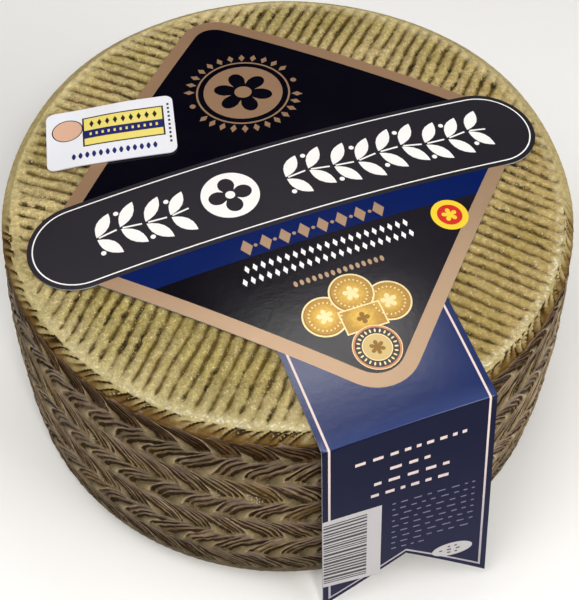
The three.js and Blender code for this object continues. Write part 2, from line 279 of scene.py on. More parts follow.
class Wires:
    """Puts nodes into one tree and wires them up."""

    def __init__(self, tree):
        self.tree = tree

    def put(self, socket, value):
        if isinstance(value, bpy.types.NodeSocket):
            self.tree.links.new(value, socket)
        else:
            socket.default_value = value

    def node(self, kind, inputs=None, **settings):
        """A new node with its settings, and its inputs given by name or number."""
        made = self.tree.nodes.new(kind)
        for name, value in settings.items():
            setattr(made, name, value)
        for name, value in (inputs or {}).items():
            self.put(made.inputs[name], value)
        return made

    def math(self, operation, *values):
        return self.node("ShaderNodeMath", dict(enumerate(values)), operation=operation).outputs[0]

    def chain(self, operation, total, *values):
        for value in values:
            total = self.math(operation, total, value)
        return total

    def add(self, *values):
        return self.chain("ADD", *values)

    def times(self, *values):
        return self.chain("MULTIPLY", *values)

    def minus(self, a, b):
        return self.math("SUBTRACT", a, b)

    def over(self, a, b):
        return self.math("DIVIDE", a, b)

    def whole(self, value):
        return self.math("FLOOR", value)

    def part(self, value):
        """What a number has above the whole number below it."""
        return self.math("FRACT", value)

    def size_of(self, value):
        return self.math("ABSOLUTE", value)

    def off_axis(self, x, y):
        """How far a place is from an upright axis."""
        return self.math("SQRT", self.add(self.times(x, x), self.times(y, y)))

    def larger(self, a, b):
        return self.math("MAXIMUM", a, b)

    def smaller(self, a, b):
        return self.math("MINIMUM", a, b)

    def apart(self, vector):
        """The three numbers of a vector."""
        return self.node("ShaderNodeSeparateXYZ", {"Vector": vector}).outputs

    def together(self, x, y, z):
        return self.node("ShaderNodeCombineXYZ", {"X": x, "Y": y, "Z": z}).outputs[0]

    def around(self, vector, size, reach, detail=1.0):
        """Noise that goes a little below and above nothing, by that reach."""
        return self.times(self.minus(self.noise(vector, size, detail), 0.5), 2 * reach)

    def chance(self, number, step, low, high):
        """A number from low to high, fixed for each whole number and step."""
        drawn = self.node("ShaderNodeTexWhiteNoise", noise_dimensions="2D")
        self.put(drawn.inputs["Vector"], self.together(number, step, 0.0))
        return self.between(drawn.outputs["Value"], low, high)

    def smooth(self, value, low, high, start=0.0, end=1.0):
        """Goes gently from start to end while the value goes from low to high."""
        inputs = dict(enumerate((value, low, high, start, end)))
        return self.node("ShaderNodeMapRange", inputs, interpolation_type="SMOOTHSTEP").outputs[0]

    def between(self, share, a, b):
        """A number between a and b."""
        return self.add(a, self.times(share, self.minus(b, a)))

    def hump(self, value, middle, half_width):
        """1 at the middle and 0 from the half width on."""
        off = self.over(self.minus(value, middle), half_width)
        return self.larger(self.minus(1.0, self.times(off, off)), 0.0)

    def scaled(self, vector, factor):
        inputs = {"Vector": vector, "Scale": factor}
        return self.node("ShaderNodeVectorMath", inputs, operation="SCALE").outputs[0]

    def moved(self, vector, offset):
        return self.node("ShaderNodeVectorMath", {0: vector, 1: offset}, operation="ADD").outputs[0]

    def noise(self, vector, size, detail=2.0, roughness=0.5):
        """Noise between 0 and 1 whose lumps are about that many millimetres across."""
        settings = {"Vector": vector, "Scale": 1 / (size * MM), "Detail": detail, "Roughness": roughness}
        return self.node("ShaderNodeTexNoise", settings).outputs["Fac"]

    def patches(self, place, shift, size, low, high, start=0.0, end=1.0):
        """Soft patches about that many millimetres across; each shift gives patches of its own."""
        return self.smooth(self.noise(self.moved(place, shift), size), low, high, start, end)

    def colours(self, share, a, b, blend="MIX"):
        made = self.node("ShaderNodeMix", data_type="RGBA", blend_type=blend)
        sockets = {socket.identifier: socket for socket in made.inputs}
        self.put(sockets["Factor_Float"], share)
        self.put(sockets["A_Color"], a if isinstance(a, bpy.types.NodeSocket) else (*a, 1))
        self.put(sockets["B_Color"], b if isinstance(b, bpy.types.NodeSocket) else (*b, 1))
        return next(s for s in made.outputs if s.identifier == "Result_Color")

    def shaded(self, colour, factor):
        """The colour made lighter or darker by a number."""
        grey = self.node("ShaderNodeCombineColor", {"Red": factor, "Green": factor, "Blue": factor})
        return self.colours(1.0, colour, grey.outputs[0], "MULTIPLY")


def new_finish(name):
    """An empty material with its shader, and the wires to build on."""
    material = bpy.data.materials.new(name)
    material.use_nodes = True
    wires = Wires(material.node_tree)
    shader = material.node_tree.nodes["Principled BSDF"]
    return material, wires, shader


def piece_from(name, points, faces, finishes=(), finish_of=None):
    """A mesh object at the origin from points in millimetres."""
    mesh = bpy.data.meshes.new(name)
    places = [tuple(float(value) * MM for value in point) for point in points]
    mesh.from_pydata(places, [], faces)
    for finish in finishes:
        mesh.materials.append(finish)
    if finish_of is not None:
        mesh.polygons.foreach_set("material_index", finish_of)
    mesh.shade_smooth()
    mesh.update()
    piece = bpy.data.objects.new(name, mesh)
    bpy.context.scene.collection.objects.link(piece)
    return piece


def give_numbers(mesh, name, values):
    """Stores one number for each point."""
    mesh.attributes.new(name, "FLOAT", "POINT").data.foreach_set("value", np.asarray(values, np.float32))


def run_tree(piece, tree, values):
    """Runs a node tree on the piece with these inputs and keeps what it makes as a plain mesh."""
    modifier = piece.modifiers.new(tree.name, "NODES")
    modifier.node_group = tree
    for item in tree.interface.items_tree:
        if item.item_type == "SOCKET" and item.in_out == "INPUT" and item.name in values:
            modifier[item.identifier] = values[item.name]
    graph = bpy.context.evaluated_depsgraph_get()
    graph.update()
    evaluated = piece.evaluated_get(graph)
    made = bpy.data.meshes.new_from_object(evaluated, preserve_all_data_layers=True, depsgraph=graph)
    rough = piece.data
    piece.modifiers.clear()
    piece.data = made
    bpy.data.meshes.remove(rough)
    made.name = piece.name
    return made


# The kind of a tree's input by the type of its default; an input without one is a material
SOCKET_KINDS = {int: "NodeSocketInt", float: "NodeSocketFloat", type(None): "NodeSocketMaterial"}


def new_tree(name, inputs):
    """An empty geometry tree with named inputs, its wires and the sockets of its input node."""
    tree = bpy.data.node_groups.new(name, "GeometryNodeTree")
    tree.interface.new_socket("Geometry", in_out="INPUT", socket_type="NodeSocketGeometry")
    for label, default in inputs.items():
        kind = SOCKET_KINDS[type(default)]
        socket = tree.interface.new_socket(label, in_out="INPUT", socket_type=kind)
        if default is not None:
            socket.default_value = default
    tree.interface.new_socket("Geometry", in_out="OUTPUT", socket_type="NodeSocketGeometry")
    wires = Wires(tree)
    return tree, wires, wires.node("NodeGroupInput").outputs


def end_tree(wires, geometry, material):
    """Ends a tree with its copies made real and its material set."""
    real = wires.node("GeometryNodeRealizeInstances", {"Geometry": geometry})
    covered = wires.node("GeometryNodeSetMaterial", {"Geometry": real.outputs[0], "Material": material})
    wires.node("NodeGroupOutput", {"Geometry": covered.outputs[0]})


# The wheel

def dome(top, x, y):
    return top - TOP_DOME * (x * x + y * y)


def rise(x, y):
    """How many times taller the wheel is at a place than without its raised back."""
    share = np.clip((x * FAR_SIDE[0] + y * FAR_SIDE[1]) / FAR_REACH, 0, 1)
    drop = TOP_DOME * (x * x + y * y)
    return 1 + FAR_RISE * drop * share * share * (3 - 2 * share) / (TOP_HEIGHT - drop)


def unevenness(x, y):
    """How much the pressed top has sunk at a place, as a share of its most."""
    slow = np.sin(x * 0.045 + 1.3) * np.cos(y * 0.052 - 0.4)
    quick = np.sin(x * 0.11 - y * 0.083 + 2.1)
    return 0.5 + 0.32 * slow + 0.18 * quick


def side_radius(z):
    bulged = SIDE_RADIUS + SIDE_BULGE * (1 - ((z - BULGE_MIDDLE) / BULGE_REACH) ** 2)
    if z >= FOOT_HEIGHT:
        return bulged
    down = 1 - z / FOOT_HEIGHT
    return bulged - FOOT_INSET * (1 - math.sqrt(1 - down * down))


def strand_run(row, share):
    """How far a bundle has run sideways at this share of its row's drop, in bundle widths."""
    run = 1 - (1 - share) ** STRAND_CURL
    return STRAND_LEAN * (run if row % 2 == 0 else 1 - run)


def plait_rings():
    """Row, share of the row's drop and height of each ring of points."""
    rings = []
    top = PLAIT_TOP
    for row in range(ROWS):
        drop = min(FIRST_ROW if row == 0 else ROW_DROP, top - LAST_RING)
        rings += [(row, share, top - drop * share) for share in ROW_SHARES]
        top -= drop
    rings.append((ROWS - 1, 1.0, top))
    return rings


def face_places(ring, ridge_pitch, spacing):
    """Places for one face in millimetres: a ring, then rows of points along the ridges."""
    shares, shown_from, shown_step, hidden_step = spacing
    limit = RIDGED_RADIUS - FACE_MARGIN
    lines = np.arange(-ROWS_EACH_WAY, ROWS_EACH_WAY)[:, None] + np.array(shares)[None, :]
    places = [Vector(place) for place in ring]
    for quarter in range(4):
        turn = (quarter + 0.5) * math.pi / 2
        for across in (lines * ridge_pitch).ravel():
            if abs(across) > limit / math.sqrt(2):
                continue

            def first_step(step):
                return math.ceil(abs(across) / step + 0.1) * step

            end = math.sqrt(limit * limit - across * across)
            hidden = np.arange(first_step(hidden_step), shown_from, hidden_step)
            shown = np.arange(max(shown_from, first_step(shown_step)), end, shown_step)
            for along in (*hidden[hidden < end], *shown):
                x = along * math.cos(turn) - across * math.sin(turn)
                y = along * math.sin(turn) + across * math.cos(turn)
                places.append(Vector((x, y)))
    return places


def face_triangles(ring, ridge_pitch, spacing):
    """Points and triangles of one face inside a ring; the ring's points come first."""
    places = face_places(ring, ridge_pitch, spacing)
    _, _, faces, first_of, _, _ = delaunay_2d_cdt(places, [], [], 0, 1e-4, True)
    order = {made: min(given) for made, given in enumerate(first_of)}
    kept = sorted(set(order.values()))
    number = {given: place for place, given in enumerate(kept)}
    triangles = [tuple(number[order[corner]] for corner in face) for face in faces]
    return np.array([places[given] for given in kept]), triangles


def wheel_skin(ridge_pitch):
    """The wheel without its relief, as points and faces."""
    around = BUNDLES * COLUMNS
    turns = np.arange(around) / COLUMNS
    points, faces, rings = [], [], []

    def add(x, y, z):
        points.extend(zip(x, y, z))
        return len(points) - len(x)

    def add_ring(radius, angle, z):
        rings.append(add(radius * np.cos(angle), radius * np.sin(angle), np.full(around, z)))

    for radius, height in RIM:
        angle = turns * 2 * math.pi / BUNDLES
        x, y = radius * np.cos(angle), radius * np.sin(angle)
        settled = 1.0 if height is None else 0.5
        level = dome(TOP_HEIGHT, x, y) if height is None else np.full(around, height)
        add_ring(radius, angle, level - settled * TOP_SAG * unevenness(x, y))
    for row, share, z in plait_rings():
        angle = (turns + strand_run(row, share)) * 2 * math.pi / BUNDLES
        radius = side_radius(z) - SIDE_WANDER * (0.5 + 0.5 * np.sin(3 * angle + z * 0.05))
        swollen = np.clip(np.cos(angle - SWOLLEN_TOWARDS), 0, 1) ** 3
        radius = radius + SWELL * swollen * math.exp(-(((z - SWOLLEN_HEIGHT) / SWOLLEN_HEIGHT) ** 2))
        add_ring(radius, angle, z)
    for radius, z in BASE_RIM:
        add_ring(radius, (turns + strand_run(ROWS - 1, 1.0)) * 2 * math.pi / BUNDLES, z)
    for upper, lower in zip(rings, rings[1:]):
        for i in range(around):
            j = (i + 1) % around
            faces.append((upper + i, lower + i, lower + j, upper + j))
    for start, base in ((rings[0], False), (rings[-1], True)):
        ring = [point[:2] for point in points[start:start + around]]
        flat, triangles = face_triangles(ring, ridge_pitch, BASE_SPACING if base else TOP_SPACING)
        x, y = flat[around:, 0], flat[around:, 1]
        level = np.zeros(len(x)) if base else dome(TOP_HEIGHT, x, y) - TOP_SAG * unevenness(x, y)
        inner = add(x, y, level)
        for corners in triangles:
            named = [start + c if c < around else inner + c - around for c in corners]
            faces.append(tuple(reversed(named)) if base else tuple(named))
    return points, faces


def face_print(w, place, pitch):
    """How far the ridged mould pressed a face at a place, 0 in the ridges and outside them."""
    x, y, _ = w.apart(place)
    place = w.together(x, y, 0.0)
    half = math.sqrt(0.5)
    along = w.times(w.add(x, y), half)
    across = w.times(w.minus(y, x), half)
    wobble = w.add(w.around(place, 18.0, 0.0011), w.around(place, 3.2, 0.00028))

    def grooves(distance):
        share = w.part(w.add(w.over(w.add(distance, wobble), pitch), 0.5))
        off = w.size_of(w.minus(share, 0.5))
        return w.add(w.smooth(off, 0.0, 0.17, 0.48, 0.0), w.smooth(off, 0.0, 0.5, 0.52, 0.0))

    def quarter_share(mine, other):
        return w.smooth(w.minus(w.size_of(mine), w.size_of(other)), -0.0035, 0.0005)

    ridged = w.larger(
        w.times(grooves(across), quarter_share(along, across)),
        w.times(grooves(along), quarter_share(across, along)),
    )
    radius = w.off_axis(w.minus(x, RIDGES_SHIFT[0] * MM), w.minus(y, RIDGES_SHIFT[1] * MM))
    full, gone = RIDGES_END
    inside = w.smooth(w.add(radius, w.around(place, 5.0, 0.004)), gone * MM, full * MM)
    wide = w.patches(place, (0.3, 0.0, 0.0), 12.0, 0.25, 0.6, 0.5, 1.1)
    close = w.patches(place, (0.0, 0.4, 0.0), 3.4, 0.28, 0.6, 0.45, 1.1)
    return w.times(ridged, inside, wide, close)


def lowered(w, place):
    """The place on the wheel as it was before its back was raised."""
    x, y, z = w.apart(place)
    drop = w.times(w.add(w.times(x, x), w.times(y, y)), TOP_DOME / MM)
    share = w.smooth(w.add(w.times(x, FAR_SIDE[0]), w.times(y, FAR_SIDE[1])), 0.0, FAR_REACH * MM)
    extra = w.over(w.times(drop, share, FAR_RISE), w.minus(TOP_HEIGHT * MM, drop))
    return w.together(x, y, w.over(z, w.add(1.0, extra)))


def face_share(w, place):
    """1 on both faces and 0 on the side."""
    x, y, z = w.apart(place)
    inner, outer = FACE_RADII
    within = w.smooth(w.off_axis(x, y), outer * MM, inner * MM)
    upper = w.smooth(z, TOP_HEIGHTS[0] * MM, TOP_HEIGHTS[1] * MM)
    lower = w.smooth(z, BASE_HEIGHTS[1] * MM, BASE_HEIGHTS[0] * MM)
    return w.times(within, w.add(upper, lower))


def towards_front(w, x, y):
    """1 in front, where the lip is nicked, and 0 at the right and at the back, where it is smooth."""
    return w.smooth(w.add(w.times(x, 0.35), w.times(y, 0.95)), 0.004, -0.026)


def nick_print(w, angle, band, seed):
    """The ends of one more row above the first, which show as nicks below the lip.

    angle is the place round the wheel in bundles, and band how far below the band's top it is.
    """
    nick_place = w.times(w.add(angle, w.times(band, NICK_LEAN)), NICKS)
    which = w.math("FLOORED_MODULO", w.whole(nick_place), NICKS * BUNDLES)

    def drawn(step, low, high):
        return w.chance(which, w.add(seed, step), low, high)

    width = w.times(drawn(7.0, 0.32, 0.55), w.smooth(band, -1.6, 0.2, 0.85, 1.1))
    return w.times(
        w.hump(w.part(nick_place), drawn(5.0, 0.4, 0.6), width),
        w.smooth(w.minus(band, drawn(6.0, -1.6, -0.8)), -0.05, 0.35),
        w.smooth(band, -0.9, 0.1, 1.35, 0.45),
        drawn(8.0, 0.35, 2.0),
    )


def side_print(w, place, seed):
    """What the plaited band printed at a place of the side.

    The plait is rows of bundles that lean one way and the other in turn. Each bundle starts blunt
    and whole, and its strands part towards its lower end, where bare rind shows under it.
    """
    x, y, z = w.apart(place)
    flattened = w.over(SIDE_RADIUS * MM, w.off_axis(x, y))
    place = w.together(w.times(x, flattened), w.times(y, flattened), z)
    angle = w.times(w.math("ARCTAN2", y, x), BUNDLES / (2 * math.pi))
    angle = w.add(angle, w.around(place, 13.0, 0.3))
    first = w.over(w.minus(PLAIT_TOP * MM, z), FIRST_ROW * MM)
    others = w.over(w.minus((PLAIT_TOP - FIRST_ROW) * MM, z), ROW_DROP * MM)
    drop = w.add(w.smaller(first, 1.0), w.larger(others, 0.0))
    drop = w.add(drop, w.around(w.moved(place, (0.2, 0.0, 0.0)), 15.0, 0.09))

    def leaning(row):
        return w.math("FLOORED_MODULO", row, 2.0)

    def turned(blunt, share):
        curled = w.math("POWER", w.larger(w.minus(1.0, share), 0.0), STRAND_CURL)
        run = w.times(w.between(blunt, w.minus(1.0, curled), curled), STRAND_LEAN)
        left = w.minus(w.minus(angle, run), BLUNT_START)
        right = w.minus(FANNED_START, w.minus(angle, run))
        return w.between(blunt, right, left)

    # A row's upper edge is slanted in each bundle, so the row above reaches below it there
    row = w.whole(drop)
    share = w.minus(drop, row)
    off = w.part(turned(leaning(row), share))
    climbing, falling = w.over(off, EDGE_MIDDLE), w.over(w.minus(1.0, off), 1 - EDGE_MIDDLE)
    slant = w.times(w.smaller(climbing, falling), EDGE_SLANT)
    above = w.math("LESS_THAN", share, slant)
    into = w.minus(share, slant)
    row = w.minus(row, above)
    share = w.add(share, above)
    blunt = leaning(row)
    strand = turned(blunt, share)
    across = w.part(strand)
    bundle = w.math("FLOORED_MODULO", w.whole(strand), float(BUNDLES))
    number = w.add(bundle, w.times(row, 100.0))

    def drawn(step, low, high):
        return w.chance(number, w.add(seed, step), low, high)

    late = drawn(1.0, -0.07, 0.07)
    vigour = drawn(2.0, 0.75, 1.2)
    narrowed = drawn(3.0, 0.75, 1.15)
    blunt_width = w.minus(1.0, w.times(w.smooth(share, 0.3, 1.15, 0.0, 0.44), narrowed))
    fanned_width = w.minus(1.0, w.times(w.smooth(share, 0.5, 1.15, 0.0, 0.37), narrowed))
    width = w.between(blunt, fanned_width, blunt_width)

    top_row = w.math("LESS_THAN", row, 0.5)
    bent = w.add(across, w.around(w.moved(place, (0.0, 0.0, 0.3)), 4.0, 0.028))

    def printed(prints):
        total = 0.0
        for i, (middle, half_width, depth, start, full, end) in enumerate(prints):
            middle = drawn(11.0 + i, middle - 0.05, middle + 0.05)
            depth = drawn(21.0 + i, 0.55 * depth, 1.25 * depth)
            grown = w.smooth(w.add(share, late), start, full)
            ended = w.smooth(w.add(share, w.times(late, 0.6)), end - 0.1, end, 1.0, 0.0)
            widest = w.between(top_row, 0.92 * half_width, 1.08 * half_width)
            shape = w.hump(bent, w.times(width, middle), w.times(w.between(width, 0.4, 1.0), widest))
            total = w.add(total, w.times(shape, grown, ended, depth))
        return total

    broken = w.patches(place, (0.0, 0.3, 0.0), 3.2, 0.32, 0.6, 0.5, 1.15)
    deeper = w.smooth(share, 0.1, 0.8, 0.78, 1.3)
    strands = w.between(blunt, printed(FANNED_PRINTS), printed(BLUNT_PRINTS))
    strands = w.times(strands, vigour, broken, deeper)
    within = w.smooth(w.minus(across, width), -0.05, 0.02, 1.0, 0.0)
    bed = w.times(within, w.smooth(w.add(into, above), 0.0, 0.07))
    beyond = w.over(w.minus(across, width), w.larger(w.minus(1.0, width), 0.05))
    hollow = w.times(w.smooth(beyond, 0.0, 1.0, 1.0, 0.0), w.minus(1.0, within))
    on_plait = w.math("GREATER_THAN", row, -0.5)
    foot = w.times(w.smooth(z, 0.0012, 0.014), on_plait)

    band = w.over(w.minus(PLAIT_TOP * MM, z), NICK_DROP * MM)
    nick = w.times(
        nick_print(w, angle, band, seed),
        w.minus(1.0, on_plait),
        w.between(towards_front(w, x, y), 0.08, 1.0),
    )
    return {
        "share": share,
        "blunt": blunt,
        "across": across,
        "strands": w.times(strands, foot),
        "bed": w.times(bed, foot),
        "hollow": w.times(hollow, foot),
        "nick": nick,
        "band": band,
        "plait": on_plait,
        "number": number,
        "top_row": top_row,
    }


def relief_tree():
    """Presses the ridges, the nicks and the plait into the wheel's skin."""
    inputs = {
        "Ridge pitch": 0.0044,
        "Ridge depth": 0.0013,
        "Strand depth": 0.0008,
        "Notch depth": 0.0007,
        "Lump height": 0.00028,
        "Seed": 0.0,
        "Material": None,
    }
    tree, w, given = new_tree("Ridges and plait", inputs)
    place = w.node("GeometryNodeInputPosition").outputs[0]
    groove = face_print(w, place, given["Ridge pitch"])
    side = side_print(w, place, given["Seed"])
    lumps = w.times(w.minus(w.noise(place, 2.8), 0.5), given["Lump height"], 2.0)
    # No lump stands out below the base
    lumps = w.larger(lumps, w.smooth(w.apart(place)[2], 0.0, 0.004, 0.0, -1.0))
    face_press = w.add(w.times(groove, given["Ridge depth"]), lumps)
    plait_press = w.times(
        w.add(w.times(side["strands"], 0.4), w.times(side["bed"], 0.5), w.times(side["hollow"], 0.4)),
        given["Strand depth"],
    )
    nick_press = w.times(side["nick"], given["Notch depth"])
    side_press = w.add(plait_press, nick_press, w.times(lumps, 0.3))
    pressed = w.between(face_share(w, place), side_press, face_press)
    normal = w.node("GeometryNodeInputNormal").outputs[0]
    moves = w.node("GeometryNodeSetPosition", {"Geometry": given["Geometry"]})
    w.put(moves.inputs["Offset"], w.scaled(normal, w.minus(0.0, pressed)))
    smoothed = w.node("GeometryNodeSetShadeSmooth", {"Geometry": moves.outputs[0]})
    end_tree(w, smoothed.outputs[0], given["Material"])
    return tree


# Tints of the rind besides those in the panel, as read off a screen
TINTS = {
    "golden": (150, 122, 62),
    "pale_front_rim": (204, 194, 156),
    "glint": (236, 228, 204),
    "worn_lip_and_highlight": (208, 197, 156),
    "painted_lip_glint": (242, 237, 214),
    "front_band": (104, 78, 38),
    "back_band": (172, 154, 106),
    "front_lip": (178, 163, 114),
    "back_lip": (182, 166, 118),
    "shallow_nick": (92, 66, 28),
    "deep_nick": (38, 25, 10),
    "dull_rind": (116, 102, 70),
    "brown_grass": (106, 80, 54),
    "grey_grass_and_sheen": (128, 112, 104),
    "olive_grass": (116, 102, 68),
    "charred_grass": (62, 40, 26),
    "dry_edge_and_highlight": (172, 154, 130),
    # oil is a painted highlight: glint specks of wet oil
    "oil": (206, 194, 164),
    "foot": (120, 106, 80),
}


# Where the fine noise starts and stops to tell
FINE_RANGE = (0.28, 0.74)


def tint(name):
    return from_screen(*TINTS[name])


def face_colour(w, look, place, noises, front):
    """The ridged faces: green and golden patches, a paler front by the rim, grime with painted shade and
    mould in the grooves, and painted glint specks.
    """
    wide, medium, fine, grain = noises
    x, y, _ = w.apart(place)
    groove = face_print(w, place, look.ridge_pitch)
    left_front = w.smooth(w.add(x, y), -0.02, -0.12, 0.0, 0.09)
    green = w.add(w.times(wide, 0.55), w.times(medium, 0.45), left_front)
    face = w.colours(w.smooth(green, 0.42, 0.64), look.crest, look.olive)
    face = w.shaded(face, w.smooth(medium, 0.3, 0.72, 0.78, 1.16))
    face = w.shaded(face, w.smooth(fine, *FINE_RANGE, 0.7, 1.3))
    face = w.shaded(face, w.smooth(grain, 0.25, 0.75, 0.8, 1.2))
    face = w.colours(w.smooth(w.minus(x, y), 0.0, 0.12, 0.0, 0.4), face, tint("golden"))
    # Paler near the rim towards the front left
    pale = w.times(w.smooth(w.off_axis(x, y), 0.078, 0.092), front, w.smooth(x, 0.03, -0.02))
    face = w.colours(w.times(pale, 0.22), face, tint("pale_front_rim"))
    ragged = w.add(groove, w.times(w.minus(fine, 0.5), 0.5))
    # Grooves darkened partly by grime and partly by painted shade on the ridges' flanks
    grime_and_shade = w.times(ragged, w.smooth(wide, 0.3, 0.65, 0.8, 1.15))
    face = w.colours(w.smooth(grime_and_shade, 0.05, 0.85, 0.0, 0.92), face, look.groove)
    spots = w.noise(w.moved(place, (0.1, 0.2, 0.0)), 3.6, 4.0, 0.7)
    colonies = w.patches(place, (0.7, 0.0, 0.0), 17.0, 0.42, 0.6, 0.15, 1.0)
    mouldy = w.times(w.smooth(spots, 0.48, 0.6), w.smooth(groove, 0.1, 0.5), colonies)
    face = w.colours(w.times(mouldy, 0.9), face, look.mould)
    # Painted highlight: glint specks on the ridges, as oil catching the light
    painted_glints = w.smooth(w.times(grain, w.add(fine, 0.55)), 0.66, 0.84)
    return w.colours(w.times(painted_glints, 0.55), face, tint("glint"))


def band_colour(w, side, noises, front, lower):
    """The nicked band below the lip, which takes on the colour below it."""
    _, medium, fine, _ = noises
    ragged = w.add(w.times(w.minus(medium, 0.5), 2.2), w.times(w.minus(fine, 0.5), 1.4))
    low = w.smooth(w.add(side["band"], ragged), -1.0, 0.2)
    band = w.colours(low, w.colours(front, tint("back_lip"), tint("front_lip")), lower)
    band = w.shaded(band, w.smooth(fine, *FINE_RANGE, 0.75, 1.25))
    band = w.colours(w.smooth(side["nick"], 0.05, 0.6, 0.0, 0.85), band, tint("shallow_nick"))
    return w.colours(w.smooth(side["nick"], 0.35, 0.95, 0.0, 0.9), band, tint("deep_nick"))


def bare_colour(w, look, side, noises, lower):
    """Bare rind between the strands, with painted shade where it lies deep under a bundle's edge."""
    wide, medium, _, _ = noises
    bare = w.colours(w.smooth(wide, 0.35, 0.65), look.patch, tint("dull_rind"))
    # Painted shade in the hollow under a bundle's edge
    bare = w.shaded(bare, w.between(side["hollow"], 1.15, 0.5))
    bare = w.shaded(bare, w.smooth(medium, 0.3, 0.7, 0.85, 1.15))
    below_lip = w.times(side["top_row"], w.smooth(side["share"], 0.05, 0.3, 1.0, 0.0))
    return w.colours(below_lip, bare, lower)


def grass_colour(w, look, side, streaks, luck, warm):
    """Pressed strands: grey at their upper ends, partly as a painted oil sheen, and brown, olive or amber
    further down.
    """
    streak, soft_streak = streaks
    grassy = w.colours(w.smooth(soft_streak, 0.35, 0.65), look.strand, tint("brown_grass"))
    # Grey upper ends: partly the strands' tone, partly a painted oil sheen
    grassy = w.colours(w.smooth(side["share"], 0.0, 0.75, 0.7, 0.0), grassy, tint("grey_grass_and_sheen"))
    olive = w.larger(w.smooth(luck, 0.5, 1.0, 0.0, 0.5), w.smooth(side["share"], 0.6, 1.0, 0.0, 0.6))
    grassy = w.colours(olive, grassy, tint("olive_grass"))
    charred = w.times(side["top_row"], w.smooth(side["share"], 0.02, 0.3, 0.0, 0.8))
    grassy = w.colours(charred, grassy, tint("charred_grass"))
    grassy = w.colours(warm, grassy, look.amber)
    grassy = w.shaded(grassy, w.smooth(streak, 0.25, 0.75, 0.5, 1.5))
    return w.shaded(grassy, w.chance(side["number"], 33.0, 0.68, 1.12))


def plait_colour(w, look, place, side, noises, streaks, lower):
    """The plaited side's colour, with painted shade and painted highlights in it, and how wet with oil it
    is.
    """
    _, _, fine, grain = noises
    streak, soft_streak = streaks
    x, _, z = w.apart(place)
    luck = w.chance(side["number"], 31.0, 0.0, 1.0)
    warm_top = w.times(side["top_row"], w.smooth(luck, 0.2, 0.8, 0.15, 0.75))
    warm = w.smaller(w.add(warm_top, w.smooth(luck, 0.9, 0.97, 0.0, 0.45)), 0.8)
    warm = w.times(warm, w.smooth(soft_streak, 0.3, 0.6), w.hump(side["share"], 0.65, 0.6))
    bare = bare_colour(w, look, side, noises, lower)
    grassy = grass_colour(w, look, side, streaks, luck, warm)
    skin = w.colours(w.times(side["bed"], 0.95), bare, grassy)
    # Light line along a bundle's edges: partly rubbed dry rind, partly a painted highlight on the raised
    # edge
    edge = w.larger(w.hump(side["across"], 0.0, 0.045), w.hump(side["across"], 1.0, 0.045))
    edge = w.times(edge, w.smooth(side["share"], 0.1, 0.4), w.smooth(z, 0.004, 0.02))
    skin = w.colours(w.times(edge, 0.55), skin, tint("dry_edge_and_highlight"))
    grooved = w.times(w.minus(streak, 0.5), side["bed"], 0.6)
    # Deep colour in the prints and under a bundle's edge: partly mould and grime, partly painted shade
    dark = w.add(side["strands"], w.times(side["hollow"], 0.15), grooved)
    full = w.smooth(z, 0.084, 0.06, 0.96, 0.88)
    pressed = w.times(w.smooth(dark, 0.0, 0.78), w.minus(full, w.times(warm, 0.5)))
    skin = w.colours(pressed, skin, look.deep)
    skin = w.shaded(skin, w.smooth(fine, *FINE_RANGE, 0.85, 1.15))
    fanned_end = w.times(w.minus(1.0, side["blunt"]), w.smooth(side["share"], 0.65, 1.0))
    drops = w.smooth(w.times(grain, w.add(w.times(luck, 0.5), 0.7)), 0.63, 0.8)
    wet = w.times(fanned_end, w.minus(1.0, side["bed"]), drops)
    # Painted highlight: oil glint specks where the rind is wet
    skin = w.colours(w.times(wet, 0.6), skin, tint("oil"))
    skin = w.colours(w.smooth(z, 0.003, 0.016, 0.6, 0.0), skin, tint("foot"))
    # Painted shade towards the foot; above it, the lower rows are made lighter than the upper ones
    painted_shade_by_height = w.times(w.smooth(z, 0.0, 0.04, 0.42, 1.0), w.smooth(z, 0.085, 0.055, 1.08, 1.28))
    skin = w.shaded(skin, painted_shade_by_height)
    # Painted light: the side made lighter towards the right
    return w.shaded(skin, w.smooth(x, 0.03, 0.09, 1.0, 1.16)), wet


